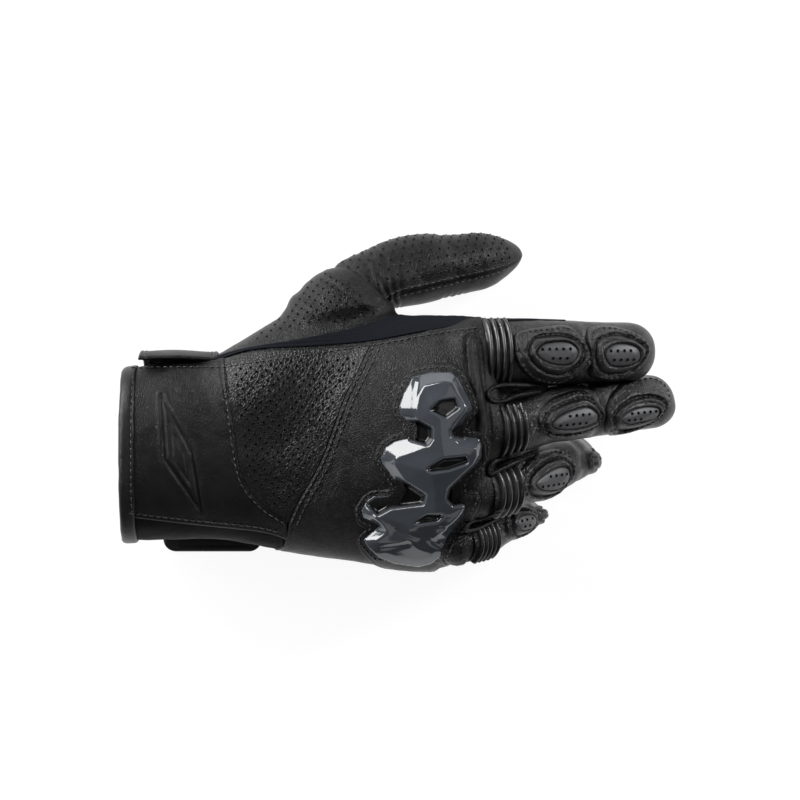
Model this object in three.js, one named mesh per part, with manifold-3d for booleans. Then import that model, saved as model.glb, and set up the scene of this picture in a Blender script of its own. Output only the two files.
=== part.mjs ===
// A right-hand short-cuff leather riding glove, shaped as if a relaxed hand were in it and laid palm down.
// Millimetres. +X runs from the cuff to the fingertips, +Y to the thumb side and +Z up through the back of
// the hand.
// The leather is modelled as thin closed walls round the hand's cavity, so that the cuff, hand, thumb and
// four finger stalls stay open inside. Each finger flexes at the ribbed panel at its root and at the channel
// between its two pads, and a short sleeve of softer leather bridges each of those bends.
import * as THREE from "three";
import Module from "manifold-3d";
import { mergeVertices } from "three/addons/utils/BufferGeometryUtils.js";

const wasm = await Module();
wasm.setup();

// ---------- Driving dimensions ----------

const WALL = 2; // leather and its foam backing
const LINING = { gap: 1.1, thickness: 0.8 };
const SEAM = 0.35; // clearance between neighbouring panels
const PAD_LIFT = 1; // clearance under a pad that follows a curved panel

// Sections of the hand, from the cuff's mouth to the knuckles: centre y and z, half width and half height,
// and the arch that lowers the two edges of the hand below its ridge.
const HAND = [
  { x: -122, y: -3.3, z: 31.5, width: 39.8, height: 24.5, arch: 0 },
  { x: -100, y: -0.5, z: 31.5, width: 39.3, height: 24.5, arch: 0 },
  { x: -78, y: 0.7, z: 31.5, width: 40.4, height: 24.0, arch: 0 },
  { x: -55, y: 1.5, z: 34, width: 45.2, height: 22, arch: 0.0004 },
  { x: -22, y: 2.6, z: 43, width: 51, height: 21.5, arch: 0.0014 },
  { x: 0, y: 3.5, z: 50, width: 55, height: 21, arch: 0.0027 },
  { x: 17.6, y: 3.5, z: 56, width: 55.4, height: 20, arch: 0.0038 },
  { x: 31, y: 5, z: 60, width: 53.5, height: 17.5, arch: 0.0048 },
  { x: 42, y: 7.5, z: 62, width: 50.5, height: 14.5, arch: 0.0052 },
];
const SECTION_ROUNDNESS = 0.8; // exponent of the section's sine and cosine; 1 is an ellipse
const RIDGE_Y = 20; // the highest line along the back of the hand

// Fingers: root of the finger, its heading in plan, and for its two rigid lengths the pitch below the
// horizontal and the length. width and height are half sizes.
const FINGERS = {
  index: {
    root: [43.3, 42.2, 60.5], heading: 1.3, lengths: [38.9, 33.8], pitches: [12, 20],
    width: 13, tipWidth: 12.2, height: 11.2, flex: [[-25, 50], [-8, 60]], front: 5.3,
  },
  middle: {
    root: [47.2, 13.2, 61.5], heading: 5.3, lengths: [40, 43.5], pitches: [22, 28],
    width: 11.4, tipWidth: 11.4, height: 11.2, flex: [[-35, 50], [-6, 60]], front: 5.6,
  },
  ring: {
    root: [42, -12, 57], heading: 7.8, lengths: [43.4, 30.8], pitches: [38, 80],
    width: 10.6, tipWidth: 10.2, height: 10.6, flex: [[-45, 30], [-40, 30]], front: 5.3,
  },
  little: {
    root: [32.7, -36.4, 46.5], heading: 10.5, lengths: [30, 26.3], pitches: [44, 82],
    width: 9.8, tipWidth: 9.2, height: 9.8, flex: [[-45, 25], [-36, 30]], front: 5.3,
  },
};
const RIBBED_LENGTH = 8; // how far the ribbed panel reaches past the finger's root on its back
const RIBS = 4;
const RIB_HEIGHT = 1.1;
const SLEEVE_START = -3.6; // where a finger's ribbed sleeve starts, from the finger's root
const SLEEVE_GAP = 2.4 * SEAM; // clearance between the ribbed sleeve and the first stall
const ROOT_FOLD = 30; // extra cut under the finger's root, in degrees of bend, where the palm leather bunches
const KNUCKLE_PAD = { spread: 52, thickness: 2.4, insertSpread: 24, insertThickness: 1, insertLift: 0.8 };
const TIP_PAD = { spread: 46, thickness: 2, insertSpread: 24, insertThickness: 0.9, insertLift: 0.8 };

// The thumb leaves the hand along a short cone, its saddle, and back is the way the thumbnail faces.
const THUMB = {
  saddle: [-46, 38, 31], root: [-11, 74.4, 29.8], direction: [0.93, 0.175, -0.325], back: [0, 0.6, 0.8],
  lengths: [35, 35.5], saddleRadii: [20.5, 15.6], width: 13.8, height: 12.2, tipWidth: 12, tipRound: 19,
  flex: [[-20, 35], [-10, 55]], rootFold: [52, 10], rootSetBack: 2,
};
const SADDLE_END = 10; // the saddle stops this far before the thumb's root
const SADDLE_FLATNESS = 0.94;

const CUFF = { mouth: -122.3, bindingLength: 4, bindingProud: 0.8, bindingTuck: 0.4, palmEdge: -76 };
// The perforated wedge on the wrist: its angles round the hand, and where its two ends lie along X.
const WEDGE = { from: 31, to: 135, cuffTop: -75.7, cuffLow: -53, knuckleTop: -15.4, knuckleLow: -49.7 };
// Seams that run along the hand, as angles round it: 0 is the thumb side, 90 the back and 270 the palm.
const BACK_END = 168;
const LITTLE_SIDE = [168.7, 198.6];
const PALM = [199.7, 365];
const CUFF_PALM = [199.7, 383];
const CUFF_BACK_START = 24;
const GUSSET_START = 6;
// Reinforcements on the palm: angles round the hand, ends along X and how far each stands off the palm.
const GRIP_PATCH = { angles: [232, 318], start: -2, frontGap: 2, thickness: 1.2 };
const HEEL_SLIDER = { angles: [206, 246], x: [-58, -30], thickness: 2.4 };
const LOOP_TAPE = { angles: [212, 300], x: [-108, -80], depths: [-1.4, -0.5] };
const HOOK_TAPE = { angles: [216, 262], x: [-103, -84], depths: [-2.55, -1.9] };

// Outline of the knuckle guard in plan, seen from above, from its thumb-side lobe round the fingertip side.
const GUARD_OUTLINE = [
  [6.6, 31.5], [11.3, 33.9], [20.7, 34.1], [23.8, 33.3], [32.1, 20.8], [27.5, 13.4], [23.6, 9.8], [24.8, 5.6],
  [35.9, 5.3], [36.9, 1.3], [32.9, -7.5], [26.5, -16.3], [27.5, -19.6], [31.5, -20.2], [27.5, -31.1],
  [20.7, -37.8], [22.4, -39.2], [16.7, -48.6], [8.8, -51.2], [-0.9, -50.2], [-9.5, -46.6], [-15, -40.5],
  [-12, -34.2], [-15.6, -29.7], [-13.6, -22.9], [-1.5, -19.6], [-1.1, -11.5], [-7.5, -6.8], [-6.2, 0],
  [3.3, 4.6], [5.3, 6.6], [4.8, 10.7], [0.5, 17.4], [0.2, 20.1],
];
const GUARD = { base: 1.2, thickness: 5.5, flange: 1.05, angles: [40, 175], x: [-24, 41.5] };
const WEB = { radius: 1.5, length: 15, setBack: 12.5 };

const STRAP = {
  from: 206, to: 355, gap: 3, thickness: 1.8, radialX: [-113, -79], ulnarX: [-106, -62],
  tab: { x: -83, y: -28.5, length: 44, width: 34, thickness: 2.4, corner: 5, z: -0.6 },
};

// ---------- Small tools ----------

const deg = (a) => (a * Math.PI) / 180;
const mix = (a, b, t) => a + (b - a) * t;
const clamp = (t) => Math.min(1, Math.max(0, t));
const smooth = (t) => clamp(t) ** 2 * (3 - 2 * clamp(t));
const vector = (a) => new THREE.Vector3(...a);
const power = (c, e) => Math.sign(c) * Math.abs(c) ** e;

// A value of the hand's sections at x, smoothly between its stations.
function handAt(key, x) {
  let i = HAND.findIndex((s) => s.x > x) - 1;
  if (i < 0) i = x < HAND[0].x ? 0 : HAND.length - 2;
  const [a, b] = [HAND[i], HAND[i + 1]];
  const slope = (j) => {
    const [p, q] = [HAND[Math.max(0, j - 1)], HAND[Math.min(HAND.length - 1, j + 1)]];
    return (q[key] - p[key]) / (q.x - p.x);
  };
  const h = b.x - a.x;
  const t = clamp((x - a.x) / h);
  const [t2, t3] = [t * t, t * t * t];
  return (
    (2 * t3 - 3 * t2 + 1) * a[key] + (t3 - 2 * t2 + t) * h * slope(i) +
    (3 * t2 - 2 * t3) * b[key] + (t3 - t2) * h * slope(i + 1)
  );
}

// A point of the hand at x and an angle round it, so many millimetres under the leather's outside.
function handPoint(x, angle, depth) {
  const [c, s] = [Math.cos(deg(angle)), Math.sin(deg(angle))];
  const y = handAt("y", x) + (handAt("width", x) - depth) * power(c, SECTION_ROUNDNESS);
  const z = handAt("z", x) + (handAt("height", x) - depth) * power(s, SECTION_ROUNDNESS);
  return new THREE.Vector3(x, y, z - handAt("arch", x) * (y - RIDGE_Y) ** 2);
}

function bufferOf(coordinates, index) {
  const geometry = new THREE.BufferGeometry();
  geometry.setAttribute("position", new THREE.BufferAttribute(new Float32Array(coordinates), 3));
  geometry.setIndex(index);
  geometry.computeVertexNormals();
  return geometry;
}

// A closed geometry from points and polygons, turned so that its faces point out.
function closed(points, polygons) {
  const index = [];
  let volume = 0;
  for (const p of polygons) {
    for (let i = 1; i + 1 < p.length; i++) {
      index.push(p[0], p[i], p[i + 1]);
      volume += points[p[0]].dot(points[p[i]].clone().cross(points[p[i + 1]]));
    }
  }
  if (volume < 0) index.reverse();
  return bufferOf(points.flatMap((p) => [p.x, p.y, p.z]), index);
}

// A wall between two depths of place(u, v, depth). round joins v = 1 to v = 0, and pole closes u = 1 to a
// point.
function wall(place, across, along, depths, { round = false, pole = false } = {}) {
  const columns = round ? along : along + 1;
  const rows = pole ? across : across + 1;
  const points = [];
  for (const depth of depths)
    for (let i = 0; i < rows; i++)
      for (let j = 0; j < columns; j++) points.push(place(i / across, j / along, depth));
  const layer = rows * columns;
  const poles = depths.map((depth) => (pole ? points.push(place(1, 0, depth)) - 1 : -1));
  const at = (side, i, j) => side * layer + i * columns + (j % columns);
  const polygons = [];
  for (const side of [0, 1]) {
    for (let i = 0; i + 1 < rows; i++)
      for (let j = 0; j < along; j++) {
        const quad = [at(side, i, j), at(side, i, j + 1), at(side, i + 1, j + 1), at(side, i + 1, j)];
        polygons.push(side ? quad.reverse() : quad);
      }
    if (pole)
      for (let j = 0; j < along; j++) {
        const fan = [at(side, rows - 1, j), at(side, rows - 1, j + 1), poles[side]];
        polygons.push(side ? fan.reverse() : fan);
      }
  }
  for (let j = 0; j < along; j++) {
    polygons.push([at(1, 0, j), at(1, 0, j + 1), at(0, 0, j + 1), at(0, 0, j)]);
    if (!pole)
      polygons.push([at(0, rows - 1, j), at(0, rows - 1, j + 1), at(1, rows - 1, j + 1), at(1, rows - 1, j)]);
  }
  if (!round)
    for (let i = 0; i + 1 < rows; i++) {
      polygons.push([at(0, i, 0), at(0, i + 1, 0), at(1, i + 1, 0), at(1, i, 0)]);
      polygons.push([at(1, i, along), at(1, i + 1, along), at(0, i + 1, along), at(0, i, along)]);
    }
  return closed(points, polygons);
}

// A solid between stacked rings, closed at both ends by a fan.
function stacked(rings) {
  const n = rings[0].length;
  const points = rings.flat();
  const polygons = [];
  for (let i = 0; i + 1 < rings.length; i++)
    for (let j = 0; j < n; j++) {
      const k = (j + 1) % n;
      polygons.push([i * n + j, i * n + k, (i + 1) * n + k, (i + 1) * n + j]);
    }
  const centre = (ring) => ring.reduce((a, p) => a.add(p), new THREE.Vector3()).divideScalar(n);
  const first = points.push(centre(rings[0])) - 1;
  const last = points.push(centre(rings.at(-1))) - 1;
  for (let j = 0; j < n; j++) {
    const k = (j + 1) % n;
    polygons.push([first, k, j]);
    polygons.push([last, (rings.length - 1) * n + j, (rings.length - 1) * n + k]);
  }
  return closed(points, polygons);
}

function solid(geometry) {
  const bare = geometry.clone();
  bare.deleteAttribute("normal");
  bare.deleteAttribute("uv");
  const merged = mergeVertices(bare, 1e-4);
  const vertProperties = merged.attributes.position.array;
  const triVerts = new Uint32Array(merged.index.array);
  return new wasm.Manifold(new wasm.Mesh({ numProp: 3, vertProperties, triVerts }));
}

function geometryOf(manifold) {
  const parts = manifold.decompose();
  const mesh = parts.sort((a, b) => b.volume() - a.volume())[0].getMesh();
  return bufferOf(mesh.vertProperties, Array.from(mesh.triVerts));
}

// ---------- Materials ----------

const finish = (color, roughness) => new THREE.MeshStandardMaterial({ color, roughness });
const MATERIALS = {
  leather: finish(0x1b1a1b, 0.55),
  perforated: finish(0x1c1b1c, 0.6),
  stretch: finish(0x191b22, 0.85),
  binding: finish(0x18181a, 0.5),
  guard: finish(0x16181c, 0.12),
  rubber: finish(0x232427, 0.5),
  foam: finish(0x17171a, 0.8),
  lining: finish(0x202024, 0.95),
  hookLoop: finish(0x141416, 0.95),
};

const glove = new THREE.Group();

function add(parent, name, geometry, material) {
  const mesh = new THREE.Mesh(geometry, MATERIALS[material]);
  mesh.name = name;
  parent.add(mesh);
  return mesh;
}

// ---------- The hand ----------

// The knuckle end of the hand's panels, set back from the root of each finger.
const ROOTS = Object.values(FINGERS).map((f) => [f.root[1], f.root[0] - f.front]);
const FRONT = [[60, ROOTS[0][1] - 3], ...ROOTS, [-52, ROOTS[3][1] - 5]];
const KNUCKLE_X = 38;
const PALM_SET_BACK = 11; // the palm stops this far short of the back, under the fingers' roots
function frontEdge(angle) {
  const y = handPoint(KNUCKLE_X, angle, 0).y;
  const i = Math.max(0, Math.min(FRONT.length - 2, FRONT.findIndex((f) => f[0] < y) - 1));
  const [a, b] = [FRONT[i], FRONT[i + 1]];
  return mix(a[1], b[1], smooth((a[0] - y) / (a[0] - b[0])));
}
const palmFrontEdge = (angle) => frontEdge(angle) - PALM_SET_BACK;

// A panel of the hand between two angles, whose ends along X may depend on the angle.
function handPanel(from, to, start, end, across, along, depths) {
  const place = (u, v, depth) => {
    const angle = mix(from, to, v);
    const [a, b] = [start, end].map((edge) => (typeof edge === "number" ? edge : edge(angle)));
    return handPoint(mix(a, b, u), angle, depth);
  };
  return wall(place, across, along, depths);
}

function handBlock(depth, start, end, across, along) {
  const rings = [];
  for (let i = 0; i <= across; i++) {
    const ring = [];
    const x = mix(start, end, i / across);
    for (let j = 0; j < along; j++) ring.push(handPoint(x, (360 * j) / along, depth));
    rings.push(ring);
  }
  return solid(stacked(rings));
}

const wedgeShare = (angle) => clamp((angle - WEDGE.from) / (WEDGE.to - WEDGE.from));
const wedgeCuff = (angle) => mix(WEDGE.cuffTop, WEDGE.cuffLow, wedgeShare(angle) ** 1.6);
const wedgeKnuckle = (angle) => mix(WEDGE.knuckleTop, WEDGE.knuckleLow, wedgeShare(angle));
const BODY_START = CUFF.mouth + CUFF.bindingLength + SEAM;
const LEATHER = [0, WALL];

// The thumb's saddle is a short cone from the heel of the thumb to the thumb's root.
const saddleLine = vector(THUMB.root).sub(vector(THUMB.saddle));
const saddleReach = saddleLine.length() - SADDLE_END;
const saddleAxis = saddleLine.clone().normalize();
const thumbAxis = vector(THUMB.direction).normalize();
const acrossFrom = (axis) => {
  const up = vector(THUMB.back).addScaledVector(axis, -vector(THUMB.back).dot(axis)).normalize();
  return { axis, up, side: up.clone().cross(axis) };
};
const saddleFrame = acrossFrom(saddleAxis);
const thumbFrame = acrossFrom(thumbAxis);

// A point round the saddle, at a distance along its axis.
function saddlePoint(distance, radius, angle) {
  return vector(THUMB.saddle)
    .addScaledVector(saddleAxis, distance)
    .addScaledVector(saddleFrame.side, radius * Math.cos(deg(angle)))
    .addScaledVector(saddleFrame.up, radius * SADDLE_FLATNESS * Math.sin(deg(angle)));
}

const SADDLE_SIDES = 16;
function saddleRing(share, depth) {
  const radius = mix(...THUMB.saddleRadii, share) - depth;
  const angles = Array.from({ length: SADDLE_SIDES }, (_, j) => (360 * j) / SADDLE_SIDES);
  return angles.map((angle) => saddlePoint(saddleReach * share, radius, angle));
}
const saddleBlock = (depth, shares) => solid(stacked(shares.map((share) => saddleRing(share, depth))));
const thumbCavity = saddleBlock(WALL, [-0.35, 0.4, 1.15]);
const handOutside = handBlock(-0.9, -90, 42, 12, 24);
const cutForThumb = (geometry) => geometryOf(solid(geometry).subtract(thumbCavity));

const backStart = (angle) => (angle < WEDGE.to ? wedgeKnuckle(angle) : WEDGE.knuckleLow) + SEAM;
const wedgeStart = (angle) => wedgeCuff(angle) + SEAM;
const cuffEnd = (angle) => Math.min(wedgeCuff(Math.max(angle, WEDGE.from)), WEDGE.knuckleLow - SEAM);
const gussetStart = WEDGE.cuffTop + SEAM;
const gussetEnd = (angle) => frontEdge(angle) - 2;
const sideEnd = (angle) => frontEdge(angle) - 3;
const patchEnd = (angle) => palmFrontEdge(angle) - GRIP_PATCH.frontGap;
const onPalm = (thickness) => [-PAD_LIFT - thickness, -PAD_LIFT];

const back = handPanel(WEDGE.from, BACK_END, backStart, frontEdge, 8, 14, LEATHER);
const wedge = handPanel(WEDGE.from, WEDGE.to - 3, wedgeStart, wedgeKnuckle, 4, 10, LEATHER);
const cuffBack = handPanel(CUFF_BACK_START, BACK_END, BODY_START, cuffEnd, 4, 12, LEATHER);
const gusset = handPanel(GUSSET_START, WEDGE.from - 1, gussetStart, gussetEnd, 8, 3, LEATHER);
const littleSide = handPanel(...LITTLE_SIDE, BODY_START, sideEnd, 9, 3, LEATHER);
const palm = handPanel(...PALM, CUFF.palmEdge, palmFrontEdge, 6, 12, LEATHER);
const cuffPalm = handPanel(...CUFF_PALM, BODY_START, CUFF.palmEdge - SEAM, 3, 14, LEATHER);
const patchDepths = onPalm(GRIP_PATCH.thickness);
const patch = handPanel(...GRIP_PATCH.angles, GRIP_PATCH.start, patchEnd, 3, 7, patchDepths);
const slider = handPanel(...HEEL_SLIDER.angles, ...HEEL_SLIDER.x, 3, 4, onPalm(HEEL_SLIDER.thickness));
const loopTape = handPanel(...LOOP_TAPE.angles, ...LOOP_TAPE.x, 2, 7, LOOP_TAPE.depths);

const bindingPlace = (u, v, depth) => handPoint(CUFF.mouth + CUFF.bindingLength * u, 360 * v, depth);
const bindingDepths = [-CUFF.bindingProud, WALL + CUFF.bindingTuck];
const LINING_END = 20;
const liningPlace = (u, v, depth) => handPoint(mix(BODY_START, LINING_END, u), 360 * v, depth);
const liningDepths = [WALL + LINING.gap, WALL + LINING.gap + LINING.thickness];

add(glove, "back_panel", back, "leather");
add(glove, "wrist_perforated_panel", wedge, "perforated");
add(glove, "cuff_back_panel", cuffBack, "leather");
add(glove, "thumb_side_gusset", gusset, "stretch");
add(glove, "little_side_panel", littleSide, "leather");
add(glove, "palm_panel", cutForThumb(palm), "leather");
add(glove, "cuff_palm_panel", cuffPalm, "leather");
add(glove, "cuff_binding", wall(bindingPlace, 1, 24, bindingDepths, { round: true }), "binding");
add(glove, "hand_lining", cutForThumb(wall(liningPlace, 7, 18, liningDepths, { round: true })), "lining");
add(glove, "palm_grip_patch", patch, "leather");
add(glove, "palm_heel_slider", slider, "rubber");
add(glove, "cuff_loop_tape", loopTape, "hookLoop");

// Thumb saddle: the cone's wall, outside the hand only.
const saddleInside = saddleBlock(WALL, [-0.4, 0.35, 1.2]);
const saddleWall = saddleBlock(0, [-0.3, 0.35, 1]).subtract(saddleInside).subtract(handOutside);
add(glove, "thumb_saddle", geometryOf(saddleWall), "perforated");

// Webs between the fingers, seen at the crotch between two roots.
const pairs = [["index", "middle"], ["middle", "ring"], ["ring", "little"]];
for (const [a, b] of pairs) {
  const [fa, fb] = [FINGERS[a], FINGERS[b]];
  const y = (fa.root[1] - fa.width + fb.root[1] + fb.width) / 2;
  const x = Math.min(fa.root[0], fb.root[0]) - WEB.setBack;
  const z = handAt("z", x) - handAt("arch", x) * (y - RIDGE_Y) ** 2;
  const web = new THREE.CapsuleGeometry(WEB.radius, WEB.length, 2, 8);
  web.rotateX(deg(90));
  add(glove, `${a}_${b}_web`, web, "leather").position.set(x, y, z);
}

// ---------- Knuckle guard ----------

// The guard's outline, grown about its middle, cut through a layer over the back of the hand.
function guardSolid(grow, depths) {
  const corners = GUARD_OUTLINE.map((p) => new THREE.Vector2(...p));
  const centre = corners.reduce((sum, p) => sum.add(p), new THREE.Vector2()).divideScalar(corners.length);
  const outline = corners.map((p) => p.clone().sub(centre).multiplyScalar(grow).add(centre));
  const prism = new THREE.ExtrudeGeometry(new THREE.Shape(outline), { depth: 80, bevelEnabled: false });
  prism.translate(0, 0, 30);
  const skin = handPanel(...GUARD.angles, ...GUARD.x, 9, 14, depths);
  return geometryOf(solid(prism).intersect(solid(skin)));
}
const guardUnder = -PAD_LIFT - GUARD.base - SEAM;
add(glove, "guard_padding", guardSolid(GUARD.flange, [-PAD_LIFT - GUARD.base, -PAD_LIFT]), "foam");
add(glove, "knuckle_guard", guardSolid(1, [guardUnder - GUARD.thickness, guardUnder]), "guard");

// ---------- Finger stalls ----------

// How far a stall's wall is set back from a bend at an angle round the finger: the palm side is cut back so
// that the bend can close, and the back only so far as the finger straightens.
function notch(angle, height, close, open, backSet) {
  const s = Math.sin(deg(angle));
  const reach = s < 0 ? -s * height * Math.tan(deg(close / 2)) : s * height * Math.tan(deg(open / 2));
  return 1 + reach + (s > 0 ? backSet * smooth(s / 0.6) : 0);
}

// A point of a stall at x along it. close, from 1 to 0, draws the ring in towards the stall's axis.
const STALL_ROUNDNESS = 0.9;
function stallPoint(x, width, height, angle, depth, close = 1) {
  const y = (width - depth) * power(Math.cos(deg(angle)), STALL_ROUNDNESS);
  const z = (height - depth) * power(Math.sin(deg(angle)), STALL_ROUNDNESS);
  return new THREE.Vector3(x, y * close, z * close);
}

const SIDES = 16;
const SEAM_ANGLE = 1.2;

// A pad on the back of a stall: thick in its middle and thin at its edge.
const PAD_SIDES = 10;
function padOn(group, name, centre, length, spread, width, height, lift, thickness, material) {
  const place = (share, a, depth) => {
    const x = centre + length * share * Math.cos(a);
    return stallPoint(x, width, height, 90 + spread * share * Math.sin(a), depth);
  };
  const [under, edge, top] = [-lift, -lift - thickness * 0.4, -lift - thickness];
  const profile = [[0.12, under], [0.55, under], [1, under], [1, edge], [0.6, top]];
  const rings = profile.map(([share, depth]) =>
    Array.from({ length: PAD_SIDES }, (_, j) => place(share, deg((360 * j) / PAD_SIDES), depth)));
  return add(group, name, stacked(rings), material);
}

// A sleeve that bridges a bend, from an edge on one stall to an edge on the next, placed by two functions
// that give a point and the way the sleeve leaves it.
function sleeve(start, end, across, ribs = () => 0) {
  const place = (u, v, depth) => {
    const angle = 360 * v;
    const [a, b] = [start(angle, depth), end(angle, depth)];
    const span = a.point.distanceTo(b.point) / 3;
    const leave = a.point.clone().addScaledVector(a.way, span);
    const arrive = b.point.clone().addScaledVector(b.way, -span);
    const curve = new THREE.CubicBezierCurve3(a.point, leave, arrive, b.point);
    return curve.getPoint(u).addScaledVector(a.out, ribs(u, angle));
  };
  return wall(place, across, SIDES, LEATHER, { round: true });
}

// The two panels of a stall meet the sleeves on the same facets, and each other with a seam's clearance.
const half = (from, v) => Math.min(from + 180 - SEAM_ANGLE, Math.max(from + SEAM_ANGLE, from + 180 * v));

// The end of a sleeve on a stall's straight wall.
const AHEAD = new THREE.Vector3(1, 0, 0);
const wallEnd = (angle, point, way = AHEAD) => {
  const out = stallPoint(0, 1, 1, angle, 0).normalize();
  return { point, way, out };
};
const onBack = (angle) => Math.sin(deg(angle)) > 0.25;
const ribsOnBack = (u, angle) => (onBack(angle) ? RIB_HEIGHT * Math.sin(Math.PI * RIBS * u) ** 2 : 0);

// The rigid stall between two edges given as functions of the angle: a half of its round, from an angle.
function stallHalf(f, from, start, end) {
  const place = (u, v, depth) => {
    const angle = half(from, v);
    const width = mix(f.width, f.tipWidth, u);
    return stallPoint(mix(start(angle), end(angle), u), width, f.height, angle, depth);
  };
  return wall(place, 3, SIDES / 2, LEATHER);
}

// A fingertip: a thimble whose end is drawn in over its last round millimetres.
function thimble(f, start, round, straightShare, fullness) {
  const place = (u, v, depth) => {
    const angle = 360 * v;
    const straight = Math.max(f.lengths[1] - depth - round, start(angle) + 1);
    const turn = deg(90) * clamp((u - straightShare) / (1 - straightShare));
    const over = (f.lengths[1] - depth - straight) * Math.sin(turn);
    const x = u < straightShare ? mix(start(angle), straight, u / straightShare) : straight + over;
    return stallPoint(x, f.tipWidth, f.height, angle, depth, Math.cos(turn) ** fullness);
  };
  return wall(place, 5, SIDES, LEATHER, { round: true, pole: true });
}

// A pad on the back of a stall with a perforated insert on its top.
function padWithInsert(group, names, pad, centre, length, insertShift, insertShare, width, height) {
  const insertLift = PAD_LIFT + pad.thickness + pad.insertLift;
  const insertLength = length * insertShare;
  padOn(group, names[0], centre, length, pad.spread, width, height, PAD_LIFT, pad.thickness, "leather");
  padOn(
    group, names[1], centre + insertShift, insertLength, pad.insertSpread, width, height, insertLift,
    pad.insertThickness, "rubber",
  );
}

for (const [name, f] of Object.entries(FINGERS)) {
  const [first, second] = f.flex;
  const bend = f.pitches[1] - f.pitches[0];
  const channelOpen = Math.max(1, -(bend + second[0]));
  const atRoot = (angle) => notch(angle, f.height, first[1] + ROOT_FOLD, 2, RIBBED_LENGTH);
  const atChannel = (angle) => notch(angle, f.height, bend + second[1], channelOpen, 0);

  const finger = new THREE.Group();
  finger.position.set(...f.root);
  finger.rotation.set(0, deg(f.pitches[0]), deg(f.heading), "ZYX");
  glove.add(finger);
  const tip = new THREE.Group();
  tip.position.set(f.lengths[0], 0, 0);
  tip.rotation.y = deg(bend);
  finger.add(tip);

  // Root sleeve, ribbed across the back. It is a straight tube in the finger's own frame.
  const rootWall = (x, angle, depth) => wallEnd(angle, stallPoint(x, f.width, f.height, angle, depth));
  const rootStart = (angle, depth) => rootWall(SLEEVE_START, angle, depth);
  const rootEnd = (angle, depth) => rootWall(atRoot(angle) - SLEEVE_GAP, angle, depth);
  add(finger, `${name}_ribbed_sleeve`, sleeve(rootStart, rootEnd, 8, ribsOnBack), "leather");

  // First stall: back and palm panels.
  const stallEnd = (angle) => f.lengths[0] - atChannel(angle);
  add(finger, `${name}_back_panel`, stallHalf(f, 0, atRoot, stallEnd), "leather");
  add(finger, `${name}_palm_panel`, stallHalf(f, 180, atRoot, stallEnd), "leather");
  const padCentre = (RIBBED_LENGTH + f.lengths[0]) / 2 + 0.4;
  const padLength = (f.lengths[0] - RIBBED_LENGTH - 5) / 2;
  const knuckleNames = [`${name}_knuckle_pad`, `${name}_knuckle_insert`];
  padWithInsert(finger, knuckleNames, KNUCKLE_PAD, padCentre, padLength, 1, 0.5, f.width, f.height);

  // Channel sleeve between the two pads.
  const tipWall = (x, angle, depth) => stallPoint(x, f.tipWidth, f.height, angle, depth);
  const turn = new THREE.Matrix4().makeRotationY(deg(bend)).setPosition(f.lengths[0], 0, 0);
  const tipWay = AHEAD.clone().transformDirection(turn);
  const channelStart = (angle, depth) => wallEnd(angle, tipWall(stallEnd(angle) + SEAM, angle, depth));
  const channelEnd = (angle, depth) =>
    wallEnd(angle, tipWall(atChannel(angle) - SEAM, angle, depth).applyMatrix4(turn), tipWay);
  add(finger, `${name}_channel_sleeve`, sleeve(channelStart, channelEnd, 3), "leather");

  // Fingertip.
  const round = f.height + 1;
  add(tip, `${name}_tip_shell`, thimble(f, atChannel, round, 0.4, 0.8), "leather");
  if (name === "little") continue; // its fingertip is curled under the hand and has no pad
  const tipPadLength = (f.lengths[1] - round - 1) / 2;
  const tipNames = [`${name}_tip_pad`, `${name}_tip_insert`];
  padWithInsert(tip, tipNames, TIP_PAD, tipPadLength + 2.4, tipPadLength, 0.6, 0.55, f.tipWidth, f.height);
}

// ---------- Thumb ----------

const thumb = new THREE.Group();
thumb.matrixAutoUpdate = false;
thumb.matrix.makeBasis(thumbFrame.axis, thumbFrame.side, thumbFrame.up).setPosition(...THUMB.root);
glove.add(thumb);
const thumbTip = new THREE.Group();
thumbTip.position.set(THUMB.lengths[0], 0, 0);
thumb.add(thumbTip);

const [thumbBase, thumbJoint] = THUMB.flex;
const rootClose = thumbBase[1] + THUMB.rootFold[0];
const rootOpen = -thumbBase[0] + THUMB.rootFold[1];
const thumbStart = (angle) => notch(angle, THUMB.height, rootClose, rootOpen, THUMB.rootSetBack);
const thumbTipNotch = (angle) => notch(angle, THUMB.height, thumbJoint[1], -thumbJoint[0], 0);
const thumbEnd = (angle) => THUMB.lengths[0] - thumbTipNotch(angle);

const toThumb = thumb.matrix.clone().invert();
const saddleWay = saddleAxis.clone().transformDirection(toThumb);
const saddleEnd = (angle, depth) => ({
  point: saddlePoint(saddleReach + SEAM, THUMB.saddleRadii[1] - depth, angle).applyMatrix4(toThumb),
  way: saddleWay,
  out: new THREE.Vector3(),
});
const thumbWall = (x, width, angle, depth) =>
  wallEnd(angle, stallPoint(x, width, THUMB.height, angle, depth));
const rootSleeveEnd = (angle, depth) => thumbWall(thumbStart(angle) - SEAM, THUMB.width, angle, depth);
const jointStart = (angle, depth) => thumbWall(thumbEnd(angle) + SEAM, THUMB.tipWidth, angle, depth);
const jointEnd = (angle, depth) =>
  thumbWall(THUMB.lengths[0] + thumbTipNotch(angle) - SEAM, THUMB.tipWidth, angle, depth);

add(thumb, "thumb_root_sleeve", sleeve(saddleEnd, rootSleeveEnd, 3), "perforated");
add(thumb, "thumb_outer_panel", stallHalf(THUMB, 0, thumbStart, thumbEnd), "perforated");
add(thumb, "thumb_inner_panel", stallHalf(THUMB, 180, thumbStart, thumbEnd), "leather");
add(thumb, "thumb_channel_sleeve", sleeve(jointStart, jointEnd, 2), "leather");
add(thumbTip, "thumb_tip_shell", thimble(THUMB, thumbTipNotch, THUMB.tipRound, 0.3, 0.85), "perforated");

// ---------- Wrist strap ----------

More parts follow.
